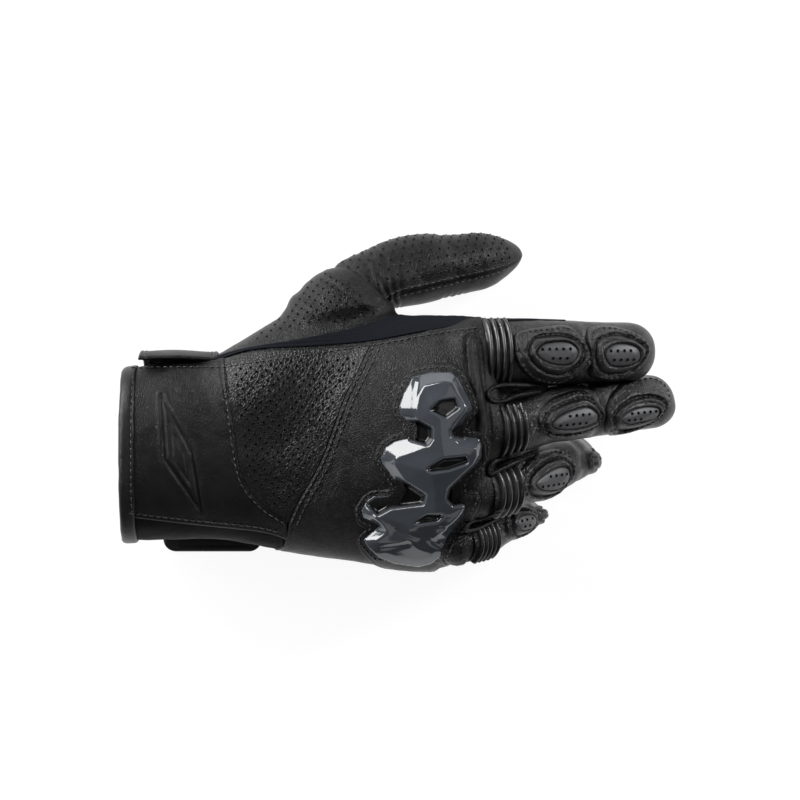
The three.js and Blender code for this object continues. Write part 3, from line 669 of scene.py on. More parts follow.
def stitches(name, points, normals, body, length=2.1, gap=0.9, radius=0.27, closed=False, lift=0.1):
    """A row of thread stitches over a line of evenly spaced surface points."""
    p, nrm = np.asarray(points, float), unit(normals)
    if closed:
        p, nrm = np.concatenate([p, p[:1]]), np.concatenate([nrm, nrm[:1]])
    at = path_length(p)
    count = max(1, int(at[-1] / (length + gap)))
    pitch = at[-1] / count
    verts, faces = [], []
    u = np.array([-0.5, -0.36, 0.0, 0.36, 0.5])
    fat = np.array([0.45, 0.9, 1.0, 0.9, 0.45])
    rise = np.array([-0.55, 0.35, 0.75, 0.35, -0.55])
    sides = 6
    for k in range(count):
        where = (k + 0.5) * pitch + u * length * pitch / (length + gap)
        c = np.stack([np.interp(where, at, p[:, d]) for d in range(3)], -1)
        n = unit(np.stack([np.interp(where, at, nrm[:, d]) for d in range(3)], -1))
        t = unit(np.gradient(c, axis=0))
        s = np.cross(n, t)
        base = len(verts)
        for i in range(5):
            for j in range(sides):
                a = 2 * math.pi * j / sides
                verts.append(c[i] + n[i] * (lift + rise[i] * radius)
                    + (s[i] * math.cos(a) + n[i] * math.sin(a)) * radius * fat[i])
        for i in range(4):
            for j in range(sides):
                q = (j + 1) % sides
                faces.append((base + i * sides + j, base + i * sides + q, base + (i + 1) * sides + q,
                    base + (i + 1) * sides + j))
        faces.append(tuple(base + j for j in reversed(range(sides))))
        faces.append(tuple(base + 4 * sides + j for j in range(sides)))
    return piece(name, np.array(verts), faces, THREAD, body)


def holes(name, centres, normals, body, radius=0.62, lip=0.24):
    """Punched holes: a near-black floor, painted shade for the depth of a hole that is not cut, with a low
    rolled lip round it.
    """
    verts, faces, mats = [], [], []
    sides = 12
    for c, n in zip(centres, unit(normals)):
        a = unit(np.cross(n, [0.3, 0.9, 0.2]))
        b = np.cross(n, a)
        base = len(verts)
        rings = ((radius * 0.96, 0.05), (radius, 0.16), (radius + lip * 0.5, 0.2), (radius + lip, 0.02))
        for r, z in rings:
            for j in range(sides):
                t = 2 * math.pi * j / sides
                verts.append(c + n * z + (a * math.cos(t) + b * math.sin(t)) * r)
        faces.append(tuple(base + j for j in range(sides)))
        mats.append(1)
        for i in range(3):
            for j in range(sides):
                q = (j + 1) % sides
                faces.append((base + i * sides + j, base + (i + 1) * sides + j, base + (i + 1) * sides + q,
                    base + i * sides + q))
                mats.append(0)
    obj = piece(name, np.array(verts), faces, LEATHER_FINE, body)
    obj.data.materials.append(HOLE_SHADE)
    obj.data.polygons.foreach_set("material_index", mats)
    return obj


def welt(name, points, normals, width, height):
    """A rounded ridge of leather along a line of surface points, lower at its ends."""
    p, nrm = np.asarray(points, float), unit(normals)
    s = np.cross(nrm, unit(np.gradient(p, axis=0)))
    n, sides = len(p), 7
    fade = 0.25 + 0.75 * roll(from_end(n) / max(1, min(4, n // 3)))
    a = np.linspace(0, math.pi, sides)
    out = np.cos(a)[None, :, None] * (width / 2 * fade)[:, None, None]
    up = (np.sin(a)[None, :, None] * height - 0.25) * fade[:, None, None]
    ring = p[:, None] + s[:, None] * out + nrm[:, None] * up
    f = sheet_faces(n, sides)
    q = ring.reshape(-1, 3)
    k = f[0]
    if np.cross(q[k[1]] - q[k[0]], q[k[2]] - q[k[0]]) @ (q[k[0]] - (p[0] - nrm[0])) < 0:
        f = f[:, ::-1]
    piece(name, ring, f, LEATHER, "hand")


# ---------------------------------------------------------------- the skin of the hand

def make_skin():
    """The hand's surface without its fingers, from a grid of distances: points, normals and faces."""
    step = 0.85
    lows, highs = np.array([-120.5, -60.0, -2.0]), np.array([52.0, 94.0, 90.0])
    n = np.ceil((highs - lows) / step).astype(int)
    gx = lows[0] + np.arange(n[0]) * step
    gy = lows[1] + np.arange(n[1]) * step
    gz = lows[2] + np.arange(n[2]) * step
    field = np.empty(n, np.float32)
    for i in range(0, n[0], 16):
        x, y, z = np.meshgrid(gx[i:i + 16], gy, gz, indexing="ij")
        field[i:i + 16] = body_distance(np.stack([x, y, z], -1))
    grid = openvdb.FloatGrid(5.0)
    grid.copyFromArray(field)
    points, quads = grid.convertToQuads(0.0)
    points = points.astype(float) * step + lows
    quads = np.asarray(quads, int)
    centre = points[quads].mean(1)
    quads = quads[centre[:, 0] > -118.9]
    used = np.unique(quads)
    remap = np.zeros(len(points), int)
    remap[used] = np.arange(len(used))
    points, quads = points[used], remap[quads]
    points, normals = settle(points, 0.0, 2)
    return points, normals, facing(points, quads, normals)


STRIPE_TOP = np.array([(-84, 41.5), (-75, 43.4), (-60, 46.4), (-50, 47.9), (-38, 50.2), (-24, 53),
    (-14, 55.8), (0, 60.5), (12, 62)])


def stripe_top(x):
    """How far toward the thumb the stretch stripe reaches."""
    return np.interp(x, STRIPE_TOP[:, 0], STRIPE_TOP[:, 1])


def skin_relief(p, n):
    """Folds of the palm side and round the thumb's base, and a step down at the seam beside the stretch
    stripe.
    """
    x, y, _ = p.T
    h = 0.28 * noise(p, 11.0, 1) + 0.16 * noise(p, 5.0, 2) + 0.07 * noise(p, 2.2, 3)
    palm = smooth((-n[:, 2] - 0.1) / 0.5)
    # the hand's bend lines across the palm, and the fold at the wrist
    h -= palm * 0.9 * bump_at(x, 22 - 0.012 * (y - 10) ** 2, 1.4)
    h -= palm * 0.7 * bump_at(x, 2 - 0.3 * (y - 10), 1.3)
    h -= 0.5 * bump_at(x, -77, 0.8) * palm
    # round the base of the thumb
    q = p - T_ROOT
    along = q @ T_LEAD
    near = smooth(1 - np.abs(np.linalg.norm(q - T_LEAD * along[:, None], axis=1) - 16) / 9)
    outer = smooth((y - 48) / 14) * near
    wander = along + 3.0 * noise(p, 12.0, 5)
    h += outer * 4.8 * smooth((along + 42) / 13) * (1 - 0.7
        * smooth((along + 13) / 8)) * smooth((-1 - along) / 5)
    for at, deep in ((-35, 0.5), (-25, 0.5), (-14, 0.6)):
        h -= outer * deep * bump_at(wander, at, 2.0)
    clear = smooth((y - stripe_top(x) - 0.5) / 8)
    beside_stripe = (n[:, 2] > -0.3) & (x > -84) & (x < 12)
    return np.where(beside_stripe, h * clear - 0.35 * (1 - clear), h)


p, n, f = make_skin()
piece("hand_skin", p + n * skin_relief(p, n)[:, None], f, LEATHER, "hand")


# ---------------------------------------------------------------- panels over the hand

STRIPE_LOW = np.array([(-119, 38.4), (-98, 38.6), (-80, 38.6), (-75.5, 38.9), (-50, 42.5), (-25, 46.2),
    (-6, 49), (10.5, 52), (24, 54.2), (35, 55.5), (42, 56)])
WEDGE_LEFT = [(-75.5, 38.5), (-73.6, 22), (-71.5, 4.5), (-68, -13), (-59.5, -24), (-48.5, -31.5)]
WEDGE_RIGHT = [(-12, 46.6), (-18, 34), (-24, 22), (-33, -2), (-38, -12), (-44, -22), (-48.5, -31.5)]
CUFF_FRONT, WEDGE_FRONT, SIDE_BACK, BACK_START = -118.6, -75.5, -50, -56  # x where panels end
SIDE_EDGE, BACK_EDGE = 206.0, 199.0  # angles where the side and the back panel end on the palm side
CUFF_SEAM = [(-118.8, -29.5), (-92.5, -32.6), (-64, -35.6), (-53, -38)]


def low_angle(x):
    """The angle round the hand where the stretch stripe's lower edge runs."""
    return hand_angle(x, np.interp(x, STRIPE_LOW[:, 0], STRIPE_LOW[:, 1]))


def as_chart(points):
    """Places seen from above as x and angle round the hand."""
    p = np.asarray(points, float)
    return np.stack([p[:, 0], hand_angle(p[:, 0], p[:, 1])], -1)


def resampled(chart, n):
    """n points along a chart line, evenly by length over the hand."""
    at = path_length(hand_point(chart[:, 0], chart[:, 1]))
    t = np.linspace(0, at[-1], n)
    return np.stack([np.interp(t, at, chart[:, k]) for k in (0, 1)], -1)


def coons(left, right, top, bottom, cell=0.75):
    """A grid of chart places between four chart lines. left and right run from the top to the bottom."""
    def size(c):
        return path_length(hand_point(c[:, 0], c[:, 1]))[-1]

    n = int(max(size(left), size(right)) / cell) + 2
    m = int(max(size(top), size(bottom)) / cell) + 2
    l, r, t, b = resampled(left, n), resampled(right, n), resampled(top, m), resampled(bottom, m)
    v, u = np.linspace(0, 1, n)[:, None, None], np.linspace(0, 1, m)[None, :, None]
    flat = (1 - v) * (1 - u) * t[0] + (1 - v) * u * t[-1] + v * (1 - u) * b[0] + v * u * b[-1]
    return (1 - u) * l[:, None] + u * r[:, None] + (1 - v) * t[None] + v * b[None] - flat


def panel(name, chart, height, material, edges, relief):
    """A leather panel over the hand. edges says which of its top, right, bottom and left rims are rolled."""
    base = hand_point(chart[..., 0], chart[..., 1], height)
    base, nrm = settle(base, height, 2)
    n, m = chart.shape[:2]
    far = np.full((n, m), 99.0)
    step_down, step_right = (np.linalg.norm(np.diff(base, axis=k), axis=-1) for k in (0, 1))
    down = np.concatenate([np.zeros((1, m)), np.cumsum(step_down, 0)])
    right = np.concatenate([np.zeros((n, 1)), np.cumsum(step_right, 1)], 1)
    for on, d in zip(edges, (down, right[:, -1:] - right, down[-1:] - down, right)):
        if on:
            far = np.minimum(far, d)
    drop = (height + 0.45) * (1 - roll(far / 1.1))
    h = relief(base, far, down) * smooth(far / 1.5) - drop
    p = base + nrm * h[..., None]
    piece(name, p, facing(p, sheet_faces(n, m), nrm), material, "hand")


def segment_distance(q, a, b):
    """Distance to the straight line from a to b."""
    a, b = np.array(a), np.array(b)
    e = b - a
    t = np.clip(((q - a) @ e) / (e @ e), 0, 1)
    return np.linalg.norm(q - a - t[..., None] * e, axis=-1)


LOZENGE = [(-104, 24), (-90.5, -1), (-86.5, -27), (-102, -4)]


def embossed(p, far, down):
    """Plain leather with a lozenge outline pressed into it."""
    h = ordinary(p, far, down)
    d = polygon_distance(p[..., :2], LOZENGE)
    return (h - 0.8 * bump_at(d, 0.0, 0.7) + 0.3 * bump_at(d, 1.6, 0.9) + 0.55 * smooth(-d / 1.5)
        - 0.55 * bump_at(d, -3.0, 0.6))


def ordinary(p, far, down):
    return 0.2 * noise(p, 10.0, 4) + 0.1 * noise(p, 4.0, 6) - 0.3 * bump_at(far, 2.6, 0.45)


KNUCKLE_FOLD = [(33, 47), (34, 33), (36, 20), (37, 9), (37, -3)]


def folded_back(p, far, down):
    """The back's leather, with the fold that the guard's edge throws across the knuckles."""
    q = p[..., :2]
    k = line(KNUCKLE_FOLD, 3.0)
    d = np.min([segment_distance(q, k[i], k[i + 1]) for i in range(len(k) - 1)], axis=0)
    h = ordinary(p, far, down)
    return h + (2.1 + 0.8 * noise(p, 6.0, 7)) * bump_at(d, 0.0, 1.5) - 0.9 * bump_at(d, 3.4, 1.2)


def pebbles(p, far, down):
    return 0.22 * noise(p, 9.0, 8) + 0.1 * noise(p, 2.4, 9)


def knitted(p, far, down):
    return 0.12 * np.sin(down * 3.2)


left = as_chart(line(WEDGE_LEFT, 2.0))
right = as_chart(line(WEDGE_RIGHT, 2.0))
xs = np.linspace(WEDGE_FRONT, -12.0, 30)
top, foot = np.stack([xs, low_angle(xs)], -1), np.array([left[-1], right[-1] + [0.4, 0.3]])
panel("wrist_perforated", coons(left, right, top, foot), 0.45, PEBBLED, (1, 0, 0, 0),
    pebbles)

xs = np.linspace(CUFF_FRONT, WEDGE_FRONT, 20)
seam = as_chart(line(CUFF_SEAM + [(-48.5, -40)], 2.0))
back = np.concatenate([as_chart(line(WEDGE_LEFT, 2.0)), [[-48.5, hand_angle(-48.5, -40)]]])
front_line = np.array([[CUFF_FRONT, low_angle(CUFF_FRONT)], [CUFF_FRONT, hand_angle(CUFF_FRONT, -29.5)]])
top = np.stack([xs, low_angle(xs)], -1)
panel("cuff_back", coons(front_line, back, top, seam, 0.8), 1.0, LEATHER_FINE, (1, 1, 1, 0),
    embossed)

# the layer under the cuff panel, round the little-finger side
xs = np.linspace(CUFF_FRONT, SIDE_BACK, 30)
left = np.array([[CUFF_FRONT, hand_angle(CUFF_FRONT, -27)], [CUFF_FRONT, SIDE_EDGE]])
right = np.array([[SIDE_BACK, hand_angle(SIDE_BACK, -36)], [SIDE_BACK, SIDE_EDGE]])
top_y = np.interp(xs, [CUFF_FRONT, -92, -64, SIDE_BACK], [-27, -30, -33, -36])
top, foot = np.stack([xs, hand_angle(xs, top_y)], -1), np.stack([xs, np.full(30, SIDE_EDGE)], -1)
panel("cuff_side", coons(left, right, top, foot, 0.8), 0.55, SHADED_SIDE_LEATHER, (0, 1, 1, 0), ordinary)

# the back panel
left = np.concatenate([as_chart(line(WEDGE_RIGHT, 2.0)),
    [[-51, 158], [-55, 172], [-56, 186], [BACK_START, BACK_EDGE]]])
angles = np.linspace(float(low_angle(36.0)), BACK_EDGE, 40)
ys = hand_point(np.full(40, 38.0), angles)[:, 1]
right = np.stack([front(ys) - 5.0, angles], -1)
xs = np.linspace(-12.0, right[0, 0], 30)
top = np.stack([xs, low_angle(xs)], -1)
xs = np.linspace(BACK_START, right[-1, 0], 40)
foot = np.stack([xs, np.full(40, BACK_EDGE)], -1)
panel("back_panel_leather", coons(left, right, top, foot), 1.15, LEATHER, (1, 1, 1, 1),
    folded_back)

# the stretch stripe along the thumb side
STRIPE_FRONT, STRIPE_END = -79, 38
xs = np.linspace(STRIPE_FRONT, STRIPE_END, 60)
up_angle = np.interp(xs, [STRIPE_FRONT, -72, -30, 0, STRIPE_END], [18, 10, 2, -4, -8])
for k, x in enumerate(xs[xs < 0]):
    tries = np.linspace(float(low_angle(x)) - 1, up_angle[k] - 4, 30)
    reach = settle(hand_point(np.full(30, x), tries, 0.4), 0.4, 2)[0][:, 1]
    up_angle[k] = np.interp(stripe_top(x), np.maximum.accumulate(reach), tries)
for _ in range(4):
    up_angle[1:-1] = (up_angle[:-2] + 2 * up_angle[1:-1] + up_angle[2:]) / 4
left = np.array([[STRIPE_FRONT, low_angle(STRIPE_FRONT) + 1], [STRIPE_FRONT, up_angle[0]]])
right = np.array([[STRIPE_END, low_angle(STRIPE_END)], [STRIPE_END, -8]])
top, foot = np.stack([xs, low_angle(xs) + 2.0], -1), np.stack([xs, up_angle], -1)
panel("stretch_stripe", coons(left, right, top, foot, 0.8), 0.4, STRETCH, (0, 0, 1, 1),
    knitted)


# ---------------------------------------------------------------- cuff binding and lining

def round_angles(count):
    return np.linspace(0, 360, count, endpoint=False)


# x and height over the hand's form, from the cuff's outer side round its mouth to the inner side
BINDING_PROFILE = [(-115.9, 0.7), (-116.1, 1.5), (-116.8, 1.95), (-118.4, 2.1), (-120.6, 2.2),
    (-121.9, 1.9), (-122.6, 1.1), (-122.8, -0.6), (-122.5, -2.2), (-121.6, -3.2), (-120.2, -3.5),
    (-118.6, -3.3)]
rows = np.array([hand_point(np.full(180, x), round_angles(180), height) for x, height in BINDING_PROFILE])
rows[..., 0] += 0.25 * noise(rows, 6.0, 12)
f = outward(rows, sheet_faces(len(rows), 180, wrap=True), np.array([-110, -2, 31.0]))
piece("cuff_binding_roll", rows, f, BINDING, "hand")

xs = np.concatenate([np.linspace(-120.5, 14, 90), [17, 19, 20]])
shrink = np.concatenate([np.full(90, -3.6), [-6, -10, -15]])
rows = np.array([hand_point(np.full(120, x), round_angles(120), inset) for x, inset in zip(xs, shrink)])
rows += 0.25 * noise(rows, 8.0, 14)[..., None]
f = sheet_faces(len(xs), 120, wrap=True)
pts = np.concatenate([rows.reshape(-1, 3), [rows[-1].mean(0)]])
faces = [tuple(q) for q in f] + fan(len(xs), 120, True)
piece("hand_lining_knit", pts, faces, LINING, "hand")

# ---------------------------------------------------------------- finger stalls

THUMB_SEAM = 157.0  # the angle of the seam between the perforated back of the thumb and its smooth palm side
SPLIT = {"index": 22.0, "middle": 22.0, "ring": 23.0, "little": 17.0, "thumb": 18.0}


def finger_relief(name, s, theta, p):
    """Folds and seams of a finger or thumb at places s along it and theta round it."""
    tube = TUBES[name]
    back = smooth(np.sin(np.radians(theta)) / 0.5)
    palm = smooth(-np.sin(np.radians(theta)) / 0.5)
    h = 0.22 * noise(p, 8.0, 21) + 0.12 * noise(p, 3.6, 22)
    bend = tube.lengths[0]
    h = h - back * (0.25 if name == "thumb" else 1.1) * bump_at(s, bend, 2.2)
    for k, deep in ((-4.5, 0.45), (-1.5, 0.7), (2.0, 0.65), (5.0, 0.4)):
        h = h - palm * deep * bump_at(s + 0.8 * noise(p, 7.0, 23), bend + k, 0.8)
        h = h - palm * deep * bump_at(s + 0.8 * noise(p, 7.0, 24), 3 + k, 0.9)
    if name == "thumb":
        inner = 0.35 + 0.65 * smooth((np.cos(np.radians(theta - 205)) + 0.4) / 0.9)
        h = h + 0.5 * noise(p, 13.0, 26) - 2.4 * (1 - smooth((s + 13) / 6))
        h = h + 2.2 * bump_at(s, 24, 15) * smooth(np.cos(np.radians(theta - 62)))
        for k, deep in ((-7, 0.45), (-2.5, 0.9), (1.5, 1.2), (5.5, 0.9), (9.5, 0.4)):
            h = (h
                - deep * inner * bump_at(s - 3.0 * np.cos(np.radians(theta)) + 2.2 * noise(p, 8.0, 25), k,
                    1.1))
        for at in (THUMB_SEAM, -8.0, 352.0):
            h = (h + 0.75 * bump_at(theta, at - 3.0, 4.0)
                - 1.0 * bump_at(theta, at + 2.0, 2.2) * smooth((s - 4) / 10))
    else:
        for at in (-14.0, 194.0, 346.0):
            h = h - 0.5 * bump_at(theta, at, 3.4) + 0.25 * bump_at(np.abs(theta - at), 9, 3)
    return h


def blend(obj):
    """Bake a piece's placement into its mesh; it is not bent between bodies."""
    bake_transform(obj)


def stall(name, part, s0, s1, material, close=False):
    """The skin of one length of a finger or thumb, closed at the fingertip."""
    tube = TUBES[name]
    rows = int((s1 - s0) / 0.75) + 2
    s = np.linspace(s0, s1, rows)
    if close:
        t = np.linspace(0, 1, rows)
        s = s0 + (s1 - s0) * (1 - (1 - t) ** 1.35)
    columns = 84
    S, T = np.meshgrid(s, round_angles(columns), indexing="ij")
    p = tube.point(S, T)
    h = finger_relief(name, S, T, p)
    h = h * np.clip(tube.radii(S)[0] / 5.0, 0, 1)
    p = tube.point(S, T, h)
    pts = p.reshape(-1, 3)
    f = sheet_faces(rows, columns, wrap=True)
    turned = outward(pts, f, tube._at(tube.c, s[rows // 2]))
    faces = [tuple(q) for q in turned]
    if close:
        pts = np.concatenate([pts, [tube._at(tube.c, s[-1])]])
        faces += fan(rows, columns, turned is not f)
    blend(piece(f"{name}_{part}", pts, faces, material, None))


for name, tube in TUBES.items():
    material, slot = (LEATHER_FINE, "perforated_leather") if name == "thumb" else (FINGER, "leather")
    stall(name, "stall", -9.0 if name != "thumb" else -13.0, SPLIT[name], material)
    stall(name, "stall_end", SPLIT[name], tube.length - 0.05, material, close=True)


def side_strip(name, s0, s1, t0, t1):
    """The stretch stripe's run along the thumb side of the index finger."""
    tube = TUBES[name]
    S, T = np.meshgrid(np.linspace(s0, s1, int((s1 - s0) / 0.7)), np.linspace(t0, t1, 40), indexing="ij")
    T = (t0 + t1) / 2 + (T - (t0 + t1) / 2) * (1 - 0.8 * smooth((S - s0) / (s1 - s0)))
    far = np.minimum(T - T[:, :1], T[:, -1:] - T) * 0.22
    p = tube.point(S, T, -0.5 + 1.0 * roll(far / 0.8) + 0.1 * np.sin(far * 3.2))
    f = outward(p, sheet_faces(*S.shape), tube._at(tube.c, (s0 + s1) / 2))
    blend(piece(f"{name}_stretch_stripe", p, f, STRETCH, None))


side_strip("index", -7.0, 31.0, -22.0, 27.0)


def ribs(name, s0, s1, count, low, high, bow):
    """The ribbed panel across the root of a finger, from one angle round it to another."""
    tube = TUBES[name]
    rows, columns = int((s1 - s0) / 0.26), 90
    S, T = np.meshgrid(np.linspace(s0, s1, rows), np.linspace(low, high, columns), indexing="ij")
    back = S - bow * np.cos(np.radians(T)) ** 2 + bow * 0.35
    phase = (S - s0 - 0.8) / (s1 - s0 - 1.6) * count
    wave = np.abs(np.sin(np.clip(phase, 0, count) * math.pi)) ** 0.85
    far = np.minimum(np.minimum(S - s0, s1 - S), np.minimum(T - low, high - T) * 0.2)
    p = tube.point(S, T)
    h = -1.0 + (1.3 + 1.9 * wave) * roll(far / 1.3) + 0.12 * noise(p, 3.0, 31)
    p = tube.point(back, T, h)
    f = outward(p, sheet_faces(rows, columns), tube._at(tube.c, (s0 + s1) / 2))
    blend(piece(f"{name}_ribs", p, f, RIBBED, None))


ribs("index", -8.0, 5.4, 4, 18, 148, 1.6)
ribs("middle", -8.0, 6.0, 4, 42, 158, 1.6)
ribs("ring", -8.4, 8.0, 4, 34, 160, 1.8)
ribs("little", -8.6, 7.0, 5, 34, 160, 1.8)

# ---------------------------------------------------------------- pads and inserts on the fingers

def seen_from_above(name, part, outline):
    """An outline seen from above, as places along and across that length of the finger."""
    tube = TUBES[name]
    f = FINGERS[name]
    origin = tube.root if part == 0 else tube.mid
    pitch, a = math.radians(f["pitches"][part]), math.radians(f["heading"])
    q = np.asarray(outline, float) - origin[:2]
    along = (q[:, 0] * math.cos(a) + q[:, 1] * math.sin(a) - (tube.h + 1.5)
        * math.sin(pitch)) / math.cos(pitch)
    across = -q[:, 0] * math.sin(a) + q[:, 1] * math.cos(a)
    return np.stack([along + (tube.lengths[0] if part else 0), across], -1)


def oval(s, t, half_s, half_t):
    """An oval outline round a place along and across a finger."""
    a = np.linspace(0, 2 * math.pi, 10, endpoint=False)
    return np.stack([s + half_s * power(np.cos(a), 0.85), t + half_t * power(np.sin(a), 0.85)], -1)


PADS = {
    ("index", 0): dict(
        pad=[(51, 50.5), (57, 53.2), (65.5, 54.4), (74, 55), (78.5, 52.5), (83, 45), (84.8, 38.5),
            (80.5, 33), (75.5, 30), (70.5, 28.2), (64, 28.8), (58.5, 31), (53.5, 35.5), (50.5, 42)],
        ring=[(56.5, 43.5), (59, 48.5), (65.5, 50), (72.5, 50), (78, 47.5), (80.5, 42), (77, 36.5),
            (72, 33.3), (64.5, 34.3), (58.5, 38.5)],
        insert=[(60, 42), (62.5, 45.8), (68.5, 47.3), (75, 46.8), (78.3, 43), (76.5, 38.8), (71.5, 37.2),
            (64.5, 38.6)]),
    ("index", 1): dict(
        pad=[(84.5, 51), (88, 54.6), (95.5, 55), (99.5, 54), (105.5, 51.8), (110, 48), (111.8, 43.5),
            (108.5, 37.5), (103, 32), (96, 30.2), (90.5, 30.6), (85.8, 33.5), (84.8, 42)],
        ring=[(87, 44.5), (88.5, 48.5), (93, 50.6), (99, 50.2), (105, 48), (109, 44), (107, 39),
            (103, 35.2), (96.5, 33.8), (90.5, 34.5), (87.5, 38.5)],
        insert=[(90, 42.5), (93.5, 46), (99, 46.6), (104, 45.2), (106, 42), (104.5, 38.5), (99, 36.8),
            (92.5, 37.4)]),
    ("middle", 0): dict(
        pad=[(61.5, 13), (64.5, 20.5), (71.5, 24.4), (79, 26.6), (84, 26), (88, 21.5), (91, 15), (88, 10),
            (81.5, 6.6), (72.5, 5.2), (65.5, 6.8)],
        ring=[(63.8, 11.5), (67, 17.5), (74, 21), (82, 22.8), (87, 19.5), (88.8, 14), (86, 9.8),
            (78.5, 7.4), (68, 7.4)],
        insert=[(66.5, 11.2), (70, 14.8), (75, 17.2), (82, 18.9), (85.8, 16.8), (87, 14), (85.5, 11.5),
            (78.5, 9.4), (70, 9.2)]),
    ("middle", 1): dict(
        pad=[(92, 14), (93.5, 23), (100, 29), (109, 32.5), (116, 32.8), (121, 28.5), (121.8, 21),
            (118, 14.5), (111.5, 9.6), (101.5, 6.2), (94.5, 7.5)],
        ring=[(95, 14), (97.5, 19), (104, 22.5), (111.5, 23.5), (117.5, 21), (118.3, 17), (114.5, 12.8),
            (107.5, 9.8), (99, 9.2)],
        insert=[(97.5, 13.5), (101.5, 17), (108, 18.9), (114, 18.5), (115.5, 16.5), (113.8, 13.9),
            (108, 12.2), (101.5, 11.2)]),
    ("ring", 0): dict(
        pad=[(53, -13), (55.5, -7.5), (61, -2.4), (68, 0.4), (73, 0.6), (77.5, -3), (79, -9), (76.5, -16.5),
            (72, -21), (65.5, -22.6), (58, -21.4), (54, -18)],
        ring=[(56.5, -14.5), (59, -9.5), (65, -5.2), (72, -3.8), (76.5, -8.5), (76, -14.5), (71.5, -19),
            (63.5, -20), (58.5, -18.8)],
        insert=[(59.5, -14.8), (63.5, -11), (70, -7.8), (74, -8.2), (75.5, -12), (74, -15.5), (69.5, -17.8),
            (63, -17.6)]),
}
CHART_PADS = {
    ("ring", 1): dict(pad=oval(52.5, 0.5, 7.4, 6.2), ring=oval(52.5, 0.5, 5.6, 4.4),
        insert=oval(52.5, 0.5, 4.0, 2.8)),
    ("little", 0): dict(pad=oval(20.5, 0.2, 10.0, 7.6), ring=oval(21.0, -0.1, 7.6, 5.6),
        insert=oval(21.8, -0.4, 5.4, 3.6)),
    ("little", 1): dict(pad=oval(38.2, 1.0, 5.4, 4.6), ring=oval(38.2, 1.0, 3.9, 3.0), insert=None),
}


def pad_height(q, pad, ring, insert, recess=True):
    """Height of a pad over the stall at chart places, in mm."""
    d = -polygon_distance(q, pad)
    h = -0.9 + 2.7 * roll(d / 1.7) + 1.3 * smooth((d - 1.2) / 4.5)
    g = polygon_distance(q, ring)
    h = h - 1.35 * bump_at(g, 0.1, 0.6) + 0.65 * bump_at(g, -1.6, 0.9) + 0.5 * bump_at(g, 1.7, 0.9)
    if insert is not None:
        k = polygon_distance(q, insert)
        h = h + 0.35 * bump_at(k, 0.9, 0.6)
        if recess:
            h = h - 1.4 * smooth(0.5 - k / 0.9)
    return h


PAD_CELL = 0.45  # the pads' grid step


def polar(outline):
    """Chart places that fill an outline in rings round its middle, and the middle."""
    o = line(outline, PAD_CELL, closed=True)
    c = o.mean(0)
    far = np.linalg.norm(o - c, axis=1).mean()
    rho = np.linspace(0, 1, int(far / PAD_CELL) + 2)[1:]
    rho = np.concatenate([rho, [1.0]])
    grid = c + rho[::-1][:, None, None] * (o - c)[None]
    return grid, c


def pad_mesh(name, key, outline, height, material, body, skirt=0.8):
    """A pad's skin over a finger's back, with its rim turned down by skirt."""
    tube = TUBES[key]
    grid, c = polar(outline)
    h = height(grid)
    h[0] = h[1] - skirt
    p = tube.top(grid[..., 0], grid[..., 1], h)
    n, m = grid.shape[:2]
    pts = np.concatenate([p.reshape(-1, 3), [tube.top(np.array([c[0]]), np.array([c[1]]),
        height(c[None]))[0]]])
    f = sheet_faces(n, m, wrap=True)
    turned = facing(pts, f, tube._at(tube.u, c[0]))
    faces = [tuple(q) for q in turned] + fan(n, m, turned is not f)
    return piece(name, pts, faces, material, body)


def normal_on(tube, q, height):
    """Surface points and normals over chart places for a height function."""
    e = 0.25
    a = tube.top(q[:, 0], q[:, 1], height(q))
    b = tube.top(q[:, 0] + e, q[:, 1], height(q + [e, 0]))
    c = tube.top(q[:, 0], q[:, 1] + e, height(q + [0, e]))
    n = unit(np.cross(b - a, c - a))
    up = tube._at(tube.u, q[:, 0])
    return a, n * np.sign((n * up).sum(-1, keepdims=True))


